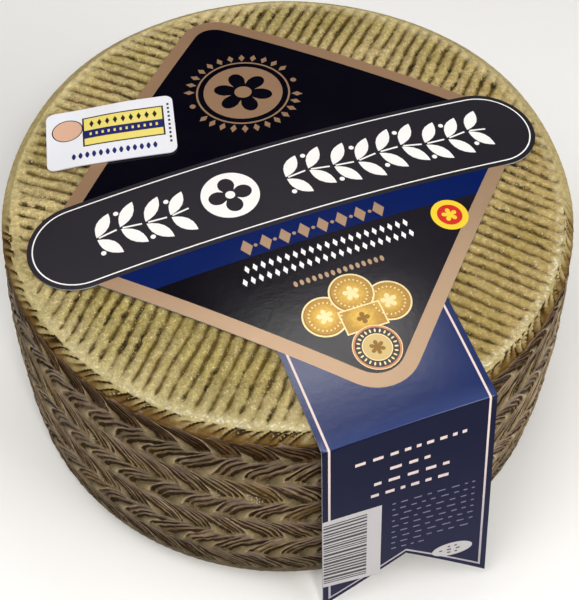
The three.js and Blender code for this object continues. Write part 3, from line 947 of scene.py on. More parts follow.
def rind_finish(look):
    """Oiled rind: yellow ridged faces, and a side darkened where the grass was pressed in, partly with
    painted shade.
    """
    material, w, shader = new_finish("oiled_rind")
    place = lowered(w, w.node("ShaderNodeTexCoord").outputs["Object"])
    x, y, z = w.apart(place)
    wide = w.noise(place, 34.0)
    medium = w.noise(place, 7.0, 3.0, 0.6)
    fine = w.noise(place, 1.5, 3.0, 0.65)
    grain = w.noise(place, 0.55)
    noises = (wide, medium, fine, grain)
    front = w.smooth(w.add(w.times(x, 0.2), y), 0.0, -0.05)

    # The faces, and the worn lip round the upper one with a painted highlight and painted glint specks on it
    worn = w.patches(place, (0.4, 0.4, 0.0), 2.6, 0.34, 0.6, 0.25, 1.1)
    lip = w.hump(w.off_axis(x, y), LIP_RADIUS * MM, LIP_REACH * MM)
    lip = w.times(lip, w.smooth(z, 0.0915, 0.0928), worn, w.smooth(x, -0.09, -0.05, 0.3, 1.0))
    # Painted highlight: glint specks along the lip's front
    painted_lip_glints = w.patches(place, (0.0, 0.9, 0.0), 1.1, 0.53, 0.63)
    face = face_colour(w, look, place, noises, front)
    # The lip paler, partly worn rind and partly a painted highlight
    face = w.colours(w.times(lip, w.between(front, 0.45, 0.5)), face, tint("worn_lip_and_highlight"))
    face = w.colours(w.times(lip, front, painted_lip_glints, 0.6), face, tint("painted_lip_glint"))

    # The side, with streaks drawn out along its strands
    side = side_print(w, place, float(look.seed))
    drawn_out = w.together(
        w.times(side["across"], STREAK_ACROSS * MM),
        w.times(side["number"], STREAK_BUNDLE * MM),
        w.times(side["share"], STREAK_ALONG * MM),
    )
    streak = w.noise(drawn_out, 0.75, 2.0, 0.6)
    streaks = (streak, w.noise(w.moved(drawn_out, (0.5, 0.0, 0.0)), 2.2))
    lower = w.colours(towards_front(w, x, y), tint("back_band"), tint("front_band"))
    band = band_colour(w, side, noises, front, lower)
    skin, wet = plait_colour(w, look, place, side, noises, streaks, lower)

    on_face = face_share(w, place)
    colour = w.colours(on_face, w.colours(side["plait"], band, skin), face)
    w.put(shader.inputs["Base Color"], colour)
    w.put(shader.inputs["Roughness"], w.smooth(medium, 0.3, 0.7, 0.28, 0.48))
    shader.inputs["Specular IOR Level"].default_value = 0.015
    height = w.add(w.times(fine, 0.6), w.times(grain, 0.25), w.times(streak, side["bed"], 0.3))
    height = w.minus(height, w.times(side["strands"], 0.9))
    bump = w.node("ShaderNodeBump", {"Strength": 0.8, "Distance": 0.0006, "Height": height})
    w.put(shader.inputs["Normal"], bump.outputs[0])
    oiled = w.smooth(w.add(w.times(grain, 0.5), w.times(fine, 0.5)), 0.48, 0.62)
    on_top = w.times(oiled, w.add(0.3, w.times(lip, front, 0.25)))
    on_side = w.times(oiled, w.larger(wet, w.between(w.smaller(side["strands"], 1.0), 0.12, 0.0)))
    upper = w.larger(on_face, w.minus(1.0, side["plait"]))
    w.put(shader.inputs["Coat Weight"], w.between(upper, on_side, on_top))
    shader.inputs["Coat Roughness"].default_value = 0.16
    w.put(shader.inputs["Coat Normal"], bump.outputs[0])
    return material


# Printed cards: outlines on the unfolded card, in millimetres

def arc(x, y, radius, start, end, steps):
    angles = np.linspace(start, end, steps + 1)
    return [(x + radius * math.cos(a), y + radius * math.sin(a)) for a in angles]


def disc(x, y, radius, steps=40, flat=1.0):
    """A disc, or an oval whose height is that share of its width."""
    angles = np.arange(steps) * 2 * math.pi / steps
    return [(x + radius * math.cos(a), y + flat * radius * math.sin(a)) for a in angles]


PETAL_ROUNDING = 0.7


def rosette(x, y, outer, inner, petals, steps=8):
    """Rounded petals round a middle."""
    outline = []
    for i in range(petals * steps):
        angle = 2 * math.pi * i / (petals * steps)
        radius = inner + (outer - inner) * abs(math.cos(petals * angle / 2)) ** PETAL_ROUNDING
        outline.append((x + radius * math.sin(angle), y + radius * math.cos(angle)))
    return outline


def rectangle(left, bottom, right, top):
    return [(left, bottom), (right, bottom), (right, top), (left, top)]


def rounded(half, up, radius, steps=5):
    """A rectangle about its own middle, with rounded corners."""
    outline = []
    for i, (right, top) in enumerate(((1, 1), (-1, 1), (-1, -1), (1, -1))):
        start = i * math.pi / 2
        middle = (right * (half - radius), top * (up - radius))
        outline += arc(*middle, radius, start, start + math.pi / 2, steps)
    return outline


def stadium(inset):
    radius = BANNER_HALF_HEIGHT - inset
    reach = BANNER_HALF_LENGTH - BANNER_HALF_HEIGHT
    quarter = math.pi / 2
    right = arc(LABEL_X + reach, BANNER_Y, radius, -quarter, quarter, 32)
    return right + arc(LABEL_X - reach, BANNER_Y, radius, quarter, 3 * quarter, 32)


def diamond(border):
    """The diamond grown by a border, with its upper and lower corners rounded."""
    up_edge = math.hypot(DIAMOND_HALF_WIDTH, DIAMOND_UP)
    down_edge = math.hypot(DIAMOND_HALF_WIDTH, DIAMOND_DOWN)
    side = DIAMOND_HALF_WIDTH + border * up_edge / DIAMOND_UP
    up = DIAMOND_UP + border * up_edge / DIAMOND_HALF_WIDTH
    down = DIAMOND_DOWN + border * down_edge / DIAMOND_HALF_WIDTH

    def corner(height, radius, sign):
        half = math.atan2(side, height)
        middle = height - radius / math.sin(half)
        sweep = math.pi / 2 - half
        start = sign * math.pi / 2 - sweep
        return arc(LABEL_X, LABEL_Y + sign * middle, radius, start, start + 2 * sweep, 10)

    upper = corner(up, TOP_CORNER_RADIUS + border, 1)
    lower = corner(down, BOTTOM_CORNER_RADIUS + border, -1)
    return [*upper, (LABEL_X - side, LABEL_Y), *lower, (LABEL_X + side, LABEL_Y)]


# A stroke's corners reach out as if they turned no more sharply than this cosine
SHARPEST = 0.3


def stroke(path, width):
    """The outline of a line of that width along an open path."""
    path = [Vector(point) for point in path]
    sides = ([], [])
    for i, point in enumerate(path):
        before = (point - path[i - 1]).normalized() if i else None
        after = (path[i + 1] - point).normalized() if i + 1 < len(path) else None
        way = ((before or after) + (after or before)).normalized()
        normal = Vector((-way.y, way.x))
        edge = Vector((-(after or before).y, (after or before).x))
        reach = width / 2 / max(normal.dot(edge), SHARPEST)
        sides[0].append(tuple(point + normal * reach))
        sides[1].append(tuple(point - normal * reach))
    return sides[0] + sides[1][::-1]


def close_points(outline, step=4.0):
    """The outline, turned anticlockwise, with more points on its long edges."""
    following = outline[1:] + outline[:1]
    area = sum(a[0] * b[1] - b[0] * a[1] for a, b in zip(outline, following))
    if area < 0:
        outline = outline[::-1]
    made = []
    for i, (x, y) in enumerate(outline):
        following = outline[(i + 1) % len(outline)]
        pieces = max(1, math.ceil(math.hypot(following[0] - x, following[1] - y) / step))
        for k in range(pieces):
            made.append((x + (following[0] - x) * k / pieces, y + (following[1] - y) * k / pieces))
    return made


# A triangle of the plan with less than half of this area, in square millimetres, is left out
SMALLEST_TURN = 1e-9


def printed_card(name, fields, lines, spots, place, finishes):
    """A thin closed card from printed fields on its plan.

    fields are (finish, outline), the last on top, or (finish, outline, number of the field that it
    is cut to). lines are cut through the card so that it bends there, and spots are more points of
    its plan. place(x, y, side) gives the point in space, with side 0 for the front and -1 for the
    back.
    """
    coordinates, outlines, edges = [], [], []
    for _, outline, *_ in fields:
        dense = close_points(outline)
        outlines.append(list(range(len(coordinates), len(coordinates) + len(dense))))
        coordinates += dense
    for line in lines:
        start = len(coordinates)
        coordinates += line
        edges += [(start + i, start + i + 1) for i in range(len(line) - 1)]
    coordinates += spots
    plan = [Vector(point) for point in coordinates]
    flat, _, faces, _, _, owners = delaunay_2d_cdt(plan, edges, outlines, 0, 1e-5, True)
    order = list(finishes)
    front, finish_of = [], []
    for face, inside in zip(faces, owners):
        shown = [i for i in inside if set(fields[i][2:]) <= set(inside)]
        if not shown:
            continue
        (ax, ay), (bx, by), (cx, cy) = (flat[corner] for corner in face[:3])
        turned = (bx - ax) * (cy - ay) - (by - ay) * (cx - ax)
        if abs(turned) < SMALLEST_TURN:
            continue
        front.append(tuple(face) if turned > 0 else tuple(reversed(face)))
        finish_of.append(order.index(fields[max(shown)][0]))
    used = sorted({corner for face in front for corner in face})
    number = {corner: i for i, corner in enumerate(used)}
    front = [tuple(number[corner] for corner in face) for face in front]
    count = len(used)
    points = [place(flat[i].x, flat[i].y, side) for side in (0.0, -1.0) for i in used]
    back = [tuple(count + corner for corner in reversed(face)) for face in front]
    seen = {pair: True for face in front for pair in zip(face, face[1:] + face[:1])}
    walls = [(b, a, a + count, b + count) for a, b in seen if (b, a) not in seen]
    finish_of += [order.index("board")] * (len(back) + len(walls))
    card = piece_from(name, points, front + back + walls, finishes.values(), finish_of)
    rims = {tuple(sorted(pair)) for wall in walls for pair in (wall[:2], wall[2:])}
    sharp = [tuple(sorted(edge.vertices)) in rims for edge in card.data.edges]
    card.data.attributes.new("sharp_edge", "BOOLEAN", "EDGE").data.foreach_set("value", sharp)
    return card


def ink_finish(name, colour, roughness=0.34, mottle=0.06, metal=0.0, shine=0.5, fade=None):
    """Printed card: an even ink with the faint mottle and orange peel of a laminate.

    fade is (axis, from, to, first colour), in millimetres, for an ink that changes along an axis.
    """
    material, w, shader = new_finish(name)
    place = w.node("ShaderNodeTexCoord").outputs["Object"]
    cloud = w.noise(place, 14.0, 3.0)
    fleck = w.noise(place, 0.7)
    level = w.add(1 - mottle, w.times(cloud, mottle), w.times(fleck, mottle))
    if fade:
        axis, start, end, first = fade
        colour = w.colours(w.smooth(w.apart(place)[axis], start * MM, end * MM), first, colour)
    w.put(shader.inputs["Base Color"], w.shaded(colour, level))
    w.put(shader.inputs["Roughness"], w.between(cloud, roughness - 0.04, roughness + 0.06))
    shader.inputs["Metallic"].default_value = metal
    shader.inputs["Specular IOR Level"].default_value = shine
    height = w.add(w.times(w.noise(place, 2.4, 1.0), 0.6), w.times(fleck, 0.3))
    bump = w.node("ShaderNodeBump", {"Strength": 0.12, "Distance": 0.0003, "Height": height})
    w.put(shader.inputs["Normal"], bump.outputs[0])
    return material


def medal_finish(gold):
    """Gold print with a painted sheen: bright in the middle of each medal and brown towards its edge."""
    material, w, shader = new_finish("medal_ink")
    place = w.node("ShaderNodeTexCoord").outputs["Object"]
    x, y, _ = w.apart(place)
    nearest = 1.0
    for centre_x, centre_y in (*MEDALS, MEDAL_BAND):
        off = w.off_axis(w.minus(x, centre_x * MM), w.minus(y, centre_y * MM))
        nearest = w.smaller(nearest, off)
    uneven = w.add(nearest, w.around(place, 3.0, 0.0012))
    medal_painted_sheen = w.smooth(uneven, 0.001, 0.0064)
    colour = w.colours(medal_painted_sheen, from_screen(238, 198, 96), from_screen(168, 124, 60))
    colour = w.colours(0.35, colour, gold)
    w.put(shader.inputs["Base Color"], w.shaded(colour, w.smooth(w.noise(place, 0.8), 0.3, 0.7, 0.92, 1.08)))
    shader.inputs["Metallic"].default_value = 0.45
    shader.inputs["Roughness"].default_value = 0.38
    return material


def raised(x, y, top):
    """A point of a domed card, moved up with the wheel's back along the line to the camera."""
    start = Vector((x, y, dome(top, x, y)))
    sight = Vector(CAMERA_PLACE) / MM - start
    share = 0.0
    for _ in range(4):
        found = start + sight * share
        wanted = dome(top, found.x, found.y) * float(rise(found.x, found.y))
        share += (wanted - found.z) / sight.z
    return start + sight * share


def on_label(x, y, lift):
    """The place of a point of the unfolded label, lifted off its printed face, in millimetres."""
    start = 2 * TOP_DOME * FOLD_Y
    slope = math.atan(start)
    past = FOLD_Y - y
    level = dome(CARD_TOP, x, max(y, FOLD_Y))
    if past <= 0:
        normal = Vector((2 * TOP_DOME * x, 2 * TOP_DOME * y, 1)).normalized()
        return raised(x, y, CARD_TOP) + normal * lift
    share = min(max((x - LABEL_X) / (2 * TONGUE_HALF_WIDTH) + 0.5, 0.0), 1.0)
    lean = math.radians(LEAN_LEFT + (LEAN_RIGHT - LEAN_LEFT) * share)
    last = lean - math.pi / 2
    bend = FOLD_RADIUS * (slope - last)
    angle = slope - min(past, bend) / FOLD_RADIUS
    out = FOLD_RADIUS * (math.sin(slope) - math.sin(angle))
    down = FOLD_RADIUS * (math.cos(angle) - math.cos(slope))
    rest = max(past - bend, 0.0)
    point = Vector((x, FOLD_Y - out - rest * math.cos(angle), level + down + rest * math.sin(angle)))
    return point + Vector((0, math.sin(angle), math.cos(angle))) * lift


def on_small_card(along, up, lift):
    """The place of a point of the small card, given from its own middle, in millimetres."""
    x = SMALL_X + along * math.cos(SMALL_TURN) - up * math.sin(SMALL_TURN)
    y = SMALL_Y + along * math.sin(SMALL_TURN) + up * math.cos(SMALL_TURN)
    length = math.hypot(DIAMOND_HALF_WIDTH, DIAMOND_UP)
    outside = -(x - LABEL_X) * DIAMOND_UP + (y - LABEL_Y - DIAMOND_UP) * DIAMOND_HALF_WIDTH
    share = min(max((outside / length - CLIMB_START) / CLIMB_LENGTH, 0.0), 1.0)
    share = share * share * (3 - 2 * share)
    lower = CARD_TOP + GAP + (TOP_HEIGHT - CARD_TOP) * share
    return raised(x, y, lower + SMALL_THICKNESS) + Vector((0, 0, lift))


# Places of the printed things on the label, from the photograph's layout of fields
DISC_PLACE = (-20.1, 1.4)
EMBLEM_PLACE = (1.4, 47.3)
SEAL_PLACE = (45.7, -31.6)
MEDALS = ((-9.2, -55.9), (12.3, -57.0), (2.0, -50.5))
MEDAL_BAND = (2.05, -60.3)
DARK_MEDAL = (2.0, -71.6)
OVAL_PLACE = (LABEL_X + 16.6, FOLD_Y - 74.6)
# How far past the fold the tongue's bars start and end, and how many small lines it has
BARS_DOWN = (40.8, 76.6)
SMALL_LINES = 9
# The black field's number among the label's fields; the two after it are cut to it
BLACK_FIELD = 4


def label_fields():
    """The label's printed fields, from the lowest up."""
    left, right = LABEL_X - TONGUE_HALF_WIDTH, LABEL_X + TONGUE_HALF_WIDTH
    tip = FOLD_Y - TONGUE_LENGTH
    notch = FOLD_Y - TONGUE_LENGTH * TONGUE_NOTCH
    tail = [(left, tip), (LABEL_X, notch), (right, tip)]
    past_fold = FOLD_Y - 0.6
    inset, low = TONGUE_HALF_WIDTH - 2.3, FOLD_Y - 87
    line = [(LABEL_X - inset, -56), (LABEL_X - inset, low), (LABEL_X, FOLD_Y - 68.4)]
    line += [(LABEL_X + inset, low), (LABEL_X + inset, -56)]
    fields = [
        ("ribbon", [*tail, (right, -50), (left, -50)]),
        ("panel", [*tail, (right, past_fold), (left, past_fold)]),
        ("stripe", stroke(line, 0.75)),
        ("tan", diamond(BORDER)),
        ("black", diamond(0.0)),
        ("dusk", rectangle(-90, -95, 90, 0), BLACK_FIELD),
        ("blue", rectangle(-90, -25.8, 90, -10), BLACK_FIELD),
        ("charcoal", stadium(0.0)),
        ("white", stadium(1.65)),
        ("charcoal", stadium(2.12)),
        ("white", disc(*DISC_PLACE, 10.0, 48)),
        ("charcoal", rosette(*DISC_PLACE, 7.6, 2.6, 4, 12)),
        ("white", disc(*DISC_PLACE, 1.7, 16)),
        ("tan", disc(*EMBLEM_PLACE, 16.9, 64)),
        ("black", disc(*EMBLEM_PLACE, 16.2, 64)),
        ("tan", disc(*EMBLEM_PLACE, 14.2, 56)),
        ("black", rosette(*EMBLEM_PLACE, 10.6, 4.4, 6, 10)),
        ("tan", disc(*EMBLEM_PLACE, 3.1, 24)),
        ("yellow", disc(*SEAL_PLACE, 6.4)),
        ("red", disc(*SEAL_PLACE, 4.3)),
        ("yellow", rosette(*SEAL_PLACE, 2.8, 1.1, 5, 6)),
    ]
    for x, y in MEDALS:
        fields += [
            ("pale_gold", disc(x, y, 7.5)),
            ("deep_gold", disc(x, y, 6.9)),
            # Set off the middle, so the deep gold under it shows as a painted shade line at the lower left
            ("medal", disc(x + 0.15, y + 0.1, 6.65)),
            ("pale_gold", rosette(x, y, 2.8, 1.1, 5, 8)),
        ]
    fields += [
        ("pale_gold", rectangle(-5.1, -64.8, 9.2, -55.8)),
        ("medal", rectangle(-4.6, -64.3, 8.7, -56.3)),
        ("deep_gold", rosette(*MEDAL_BAND, 2.2, 0.9, 4, 8)),
        ("pale_gold", disc(*DARK_MEDAL, 8.0)),
        ("copper", disc(*DARK_MEDAL, 7.75)),
        ("slate", disc(*DARK_MEDAL, 7.1)),
        ("pale_gold", disc(*DARK_MEDAL, 4.9)),
        ("straw", disc(*DARK_MEDAL, 4.6)),
        ("deep_gold", rosette(*DARK_MEDAL, 2.6, 1.1, 6, 8)),
        ("pale", rectangle(left + 0.01, FOLD_Y - 79, LABEL_X - 9, FOLD_Y - 38.5)),
        ("pale", disc(*OVAL_PLACE, 7.2, 36, 0.5)),
    ]
    return fields


def spots_over(left, right, bottom, top, step):
    """Places in even rows and columns over a part of a card's plan."""
    return [(x, y) for x in np.arange(left, right, step) for y in np.arange(bottom, top, step)]


def label_plan():
    """Lines that the label bends along, and points that let it follow the cheese."""
    left, right = LABEL_X - TONGUE_HALF_WIDTH, LABEL_X + TONGUE_HALF_WIDTH
    bend = np.linspace(0.0, FOLD_LENGTH, 8)
    columns = np.linspace(left + 1e-3, right - 1e-3, 15)
    lines = [[(x, FOLD_Y - past) for x in columns] for past in bend]
    spots = spots_over(-94, 96, -95.5, 96, 5.0)
    down = np.arange(6, 92, 6.0)
    spots += [(x, FOLD_Y - past) for x in np.arange(left + 3, right, 6.0) for past in down]
    return lines, spots


# The label's other inks: tint as read off a screen, roughness, mottle and metal
LABEL_TINTS = {
    "pale_gold": ((250, 226, 172), 0.36, 0.08, 0.35),
    "deep_gold": ((150, 112, 56), 0.4, 0.1, 0.4),
    "straw": ((212, 186, 126), 0.38, 0.1, 0.2),
    "copper": ((206, 142, 106), 0.36, 0.1, 0.4),
    "slate": ((58, 58, 62), 0.36, 0.1),
    "umber": ((22, 18, 21), 0.4, 0.1),
    "dim": ((108, 106, 134), 0.4, 0.1),
    "pale": ((186, 182, 184), 0.42, 0.04),
}


def label_finishes(look):
    """The label's inks by the name of their fields or marks, and the board at its edge."""
    # Painted reflection: the tan lighter towards the lower tip
    tan_painted_sheen = (1, -62, 15, from_screen(198, 167, 137))
    # Painted reflection: the lower field darker at its left and lighter to the right
    dusk_painted_sheen = (0, -48, 25, from_screen(12, 10, 17))
    # Painted reflection: the banner lighter on its left than at its right end
    charcoal_painted_sheen = (0, 0, 75, look.charcoal)
    # Painted sheen: the ribbon lighter just above its fold
    ribbon_painted_sheen = (1, -98.5, -92.5, from_screen(52, 65, 112))
    # Painted reflection of the floor: the panel lighter low down
    panel_painted_reflection = (2, 12, 84, from_screen(38, 39, 63))
    stripe_fade = (2, 10, 88, from_screen(166, 158, 168))
    light_charcoal = from_screen(29, 27, 35)
    finishes = {
        "tan": ink_finish("tan_ink", look.tan, 0.42, 0.08, 0.4, fade=tan_painted_sheen),
        "black": ink_finish("black_ink", look.black, 0.22),
        "dusk": ink_finish("dusk_ink", look.dusk, 0.18, shine=0.36, fade=dusk_painted_sheen),
        "blue": ink_finish("blue_ink", look.blue, 0.22, shine=0.3),
        "charcoal": ink_finish("charcoal_ink", light_charcoal, 0.45, 0.1, shine=0.35, fade=charcoal_painted_sheen),
        "white": ink_finish("white_ink", look.white, 0.4, 0.02),
        "ribbon": ink_finish("ribbon_ink", look.ribbon, 0.18, fade=ribbon_painted_sheen),
        "panel": ink_finish("panel_ink", look.panel, 0.24, shine=0.03, fade=panel_painted_reflection),
        "stripe": ink_finish("stripe_ink", look.stripe, 0.4, fade=stripe_fade),
        "medal": medal_finish(look.gold),
        "yellow": ink_finish("yellow_ink", look.yellow, 0.36, 0.05),
        "red": ink_finish("red_ink", look.red, 0.36, 0.05),
        "board": ink_finish("card_edge", from_screen(176, 178, 190), 0.6, 0.12),
    }
    for name, (tint, *rest) in LABEL_TINTS.items():
        finishes[name] = ink_finish(name + "_ink", from_screen(*tint), *rest)
    return finishes


# Repeated marks: x, y, width, height and turn of each

def marks_tree():
    """Puts one closed flat mark on each point, with the size and turn stored there."""
    inputs = {"Sides": 12, "Twist": 0.0, "Pointed": 0.0, "Thickness": 0.0001, "Material": None}
    tree, w, given = new_tree("Printed marks", inputs)
    form = w.node("GeometryNodeMeshCylinder", {"Vertices": given["Sides"], "Radius": 1.0, "Depth": 1.0})
    twist = w.together(0.0, 0.0, given["Twist"])
    turned = w.node("GeometryNodeTransform", {"Geometry": form.outputs["Mesh"], "Rotation": twist})
    x, y, z = w.apart(w.node("GeometryNodeInputPosition").outputs[0])
    narrowed = w.between(given["Pointed"], 1.0, w.size_of(y))
    place = w.together(x, w.times(y, narrowed), z)
    shaped = w.node("GeometryNodeSetPosition", {"Geometry": turned.outputs[0], "Position": place})

    def stored(name):
        return w.node("GeometryNodeInputNamedAttribute", {"Name": name}, data_type="FLOAT").outputs[0]

    half_width, half_height = w.times(stored("width"), 0.5), w.times(stored("height"), 0.5)
    angle = w.together(0.0, 0.0, stored("turn"))
    settings = {
        "Points": given["Geometry"],
        "Instance": shaped.outputs[0],
        "Rotation": w.node("FunctionNodeEulerToRotation", {"Euler": angle}).outputs[0],
        "Scale": w.together(half_width, half_height, given["Thickness"]),
    }
    copies = w.node("GeometryNodeInstanceOnPoints", settings)
    end_tree(w, copies.outputs[0], given["Material"])
    return tree


def lay_marks(name, marks, place, finish, node, slot, lift, **shape):
    """Makes marks of (x, y, width, height, turn) and lays them on a card.

    place(x, y, lift) gives the point in space and node is the card's solid; slot is not used.
    """
    tree = bpy.data.node_groups.get("Printed marks") or marks_tree()
    piece = piece_from(name, [(x, y, 0.0) for x, y, *_ in marks], [])
    for i, key, unit in ((2, "width", MM), (3, "height", MM), (4, "turn", 1.0)):
        give_numbers(piece.data, key, [mark[i] * unit for mark in marks])
    mesh = run_tree(piece, tree, {"Thickness": 2 * MM * lift, "Material": finish, **shape})
    for vertex in mesh.vertices:
        x, y, z = vertex.co / MM
        vertex.co = place(x, y, lift if z > 0 else -MARK_ROOT) * MM
    mesh.update()
    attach(piece, "root")
    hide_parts(node)
    return piece


# How deep a mark's foot stands in its card, and the seed of the bars' lengths
MARK_ROOT = 0.1
MARKS_SEED = 5
BAR = {"Sides": 4, "Twist": math.radians(45)}
LEAF = {"Sides": 16, "Pointed": 1.0}
LOZENGE = {"Sides": 4}
DOT = {"Sides": 14}


def sprig(start, end, leaves):
    """Leaves in pairs along a waving stem, and a berry between each two pairs."""
    found_leaves, berries, stem = [], [], []
    for i in range(leaves):
        share = (i + 0.5) / leaves
        x = start + (end - start) * share
        y = BANNER_Y + 1.1 * math.sin(i * 1.7)
        stem.append((x, y))
        length = 11.5 - 2.2 * abs(share - 0.5)
        for side in (-1, 1):
            turn = side * math.radians(52)
            reach = length / 2 + 0.6
            found_leaves.append((x + reach * math.cos(turn), y + reach * math.sin(turn), length, 4.5, turn))
        berries.append((x + 0.7, y + (6.6 if i % 2 else -6.6), 1.8, 1.8, 0.0))
    return found_leaves, berries, stem


def ring_of(x, y, radius, count, start, end, width, height):
    """Marks spread evenly along an arc, each turned to face out."""
    marks = []
    for i in range(count):
        angle = math.radians(start + (end - start) * i / max(count - 1, 1))
        place = (x + radius * math.cos(angle), y + radius * math.sin(angle))
        marks.append((*place, width, height, angle - math.pi / 2))
    return marks


def row_of(start, end, y, count, width, height):
    return [(x, y, width, height, 0.0) for x in np.linspace(start + width / 2, end - width / 2, count)]


def words_in(start, end, y, height, random, shortest=2.0, longest=5.5, space=1.1):
    """Bars of uneven length in one row, in the place of words."""
    marks = []
    x = start
    while x < end - shortest:
        length = min(random.uniform(shortest, longest), end - x)
        marks.append((x + length / 2, y, length, height, 0.0))
        x += length + space
    return marks


def banner_sprigs():
    """Leaves, berries and stems of the two sprigs on the banner."""
    leaves, berries, stems = [], [], []
    for start, end, count in ((-71.5, -37.5, 4), (-4.5, 73.0, 9)):
        found_leaves, found_berries, stem = sprig(start, end, count)
        leaves += found_leaves
        berries += found_berries
        stem.append((end + 3.5, BANNER_Y))
        for (ax, ay), (bx, by) in zip(stem, stem[1:]):
            length = math.hypot(bx - ax, by - ay) + 0.6
            stems.append(((ax + bx) / 2, (ay + by) / 2, length, 0.9, math.atan2(by - ay, bx - ax)))
    return leaves, berries, stems


def tongue_bars(random):
    """Bars on the hanging tongue: rows of large and small words, level bars, and the oval's words."""
    words, small_words, bars, oval_words = [], [], [], []
    for start, end, down in ((-19, 20, 12.8), (-7.4, 8.7, 20), (-12.4, 14.2, 26), (-13.4, 15.4, 32)):
        words += words_in(LABEL_X + start, LABEL_X + end, FOLD_Y - down, 2.0, random)
    for line in range(SMALL_LINES):
        end = 8.0 if line == SMALL_LINES - 1 else 23.5
        level = FOLD_Y - 39.8 - line * 3.2
        small_words += words_in(LABEL_X - 5.6, LABEL_X + end, level, 0.7, random, 1.4, 4.2)
    down, last = BARS_DOWN
    while down < last:
        thick = random.choice((0.7, 0.7, 1.2, 1.7))
        bars.append((LABEL_X - 21.4, FOLD_Y - down - thick / 2, 21.0, thick, 0.0))
        down += thick + random.choice((0.4, 0.5, 0.7))
    middle = OVAL_PLACE[0]
    for half, down in ((1.8, 72.9), (4.9, 74.6), (2.0, 76.3)):
        oval_words += words_in(middle - half, middle + half, FOLD_Y - down, 0.8, random, 1.2, 2.2)
    return words, small_words, bars, oval_words


class PieceOperator(bpy.types.Operator):
    """Adds pieces of the cheese"""

    bl_options = {"REGISTER", "UNDO"}


class CHEESE_OT_wheel(PieceOperator):
    """Adds the wheel with its ridged faces and plaited side"""

    bl_idname = "cheese.wheel"
    bl_label = "Wheel"

    def execute(self, context):
        look = context.scene.cheese_wheel
        points, faces = wheel_skin(look.ridge_pitch / MM)
        rind = piece_from("cheese_rind", points, faces)
        values = {
            "Ridge pitch": look.ridge_pitch,
            "Ridge depth": look.ridge_depth,
            "Strand depth": look.strand_depth,
            "Notch depth": look.notch_depth,
            "Lump height": look.lump_height,
            "Seed": float(look.seed),
            "Material": rind_finish(look),
        }
        run_tree(rind, relief_tree(), values)
        places = np.empty(len(rind.data.vertices) * 3, np.float32)
        rind.data.vertices.foreach_get("co", places)
        places[2::3] *= rise(places[0::3] / MM, places[1::3] / MM)
        rind.data.vertices.foreach_set("co", places)
        rind.data.update()
        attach(rind, "root")
        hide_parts("cheese_wheel")
        return {"FINISHED"}


class CHEESE_OT_label(PieceOperator):
    """Adds the die-cut label card with its colour fields and hanging tongue"""

    bl_idname = "cheese.label"
    bl_label = "Label card"

    def execute(self, context):
        look = context.scene.cheese_label
        lines, spots = label_plan()

        def place(x, y, side):
            return on_label(x, y, side * CARD_THICKNESS)

        card = printed_card("label_fields", label_fields(), lines, spots, place, label_finishes(look))
        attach(card, "root")
        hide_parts("label")
        return {"FINISHED"}


class CHEESE_OT_label_marks(PieceOperator):
    """Adds the repeated ornament printed on the label"""

    bl_idname = "cheese.label_marks"
    bl_label = "Label ornament"

    def execute(self, context):
        lift = context.scene.cheese_label.mark_lift / MM
        leaves, berries, stems = banner_sprigs()
        words, small_words, bars, oval_words = tongue_bars(np.random.default_rng(MARKS_SEED))
        upper_ring = ring_of(*EMBLEM_PLACE, 19.4, 12, 158, 22, 2.3, 3.9)
        lower_ring = ring_of(*EMBLEM_PLACE, 19.4, 12, 204, 336, 2.3, 3.9)
        rows = row_of(-26.7, 30.8, -30.2, 21, 1.7, 3.2) + row_of(-29, 31, -34.8, 22, 1.7, 3.2)
        beads = []
        for x, y in MEDALS:
            beads += ring_of(x, y, 5.2, 24, 0, 345, 0.5, 0.7)
        beads += ring_of(*DARK_MEDAL, 6.0, 24, 0, 345, 0.6, 1.3)
        for name, marks, ink, shape in (
            ("banner_leaves", leaves, "white", LEAF),
            ("banner_berries", berries, "white", DOT),
            ("banner_stems", stems, "white", BAR),
            ("emblem_lozenges", upper_ring + lower_ring, "tan", LOZENGE),
            ("emblem_dots", ring_of(*EMBLEM_PLACE, 19.2, 2, 181, -1, 2.2, 2.2), "tan", DOT),
            ("band_lozenges", row_of(-25, 26, -21.9, 8, 4.3, 6.6), "tan", LOZENGE),
            ("band_dots", row_of(-20.4, 21.4, -21.9, 7, 1.3, 1.3), "tan", DOT),
            ("white_rows", rows, "white", LOZENGE),
            ("tan_row", row_of(-14, 17.4, -41.2, 15, 1.3, 2.2), "tan", DOT),
            ("medal_beads", beads, "pale_gold", DOT),
            ("panel_words", words, "stripe", BAR),
            ("panel_small_words", small_words, "dim", BAR),
            ("panel_bars", bars, "umber", BAR),
            ("oval_words", oval_words, "umber", BAR),
        ):
            finish = bpy.data.materials[ink + "_ink"]
            lay_marks(name, marks, on_label, finish, "label", "label_card", lift, **shape)
        return {"FINISHED"}


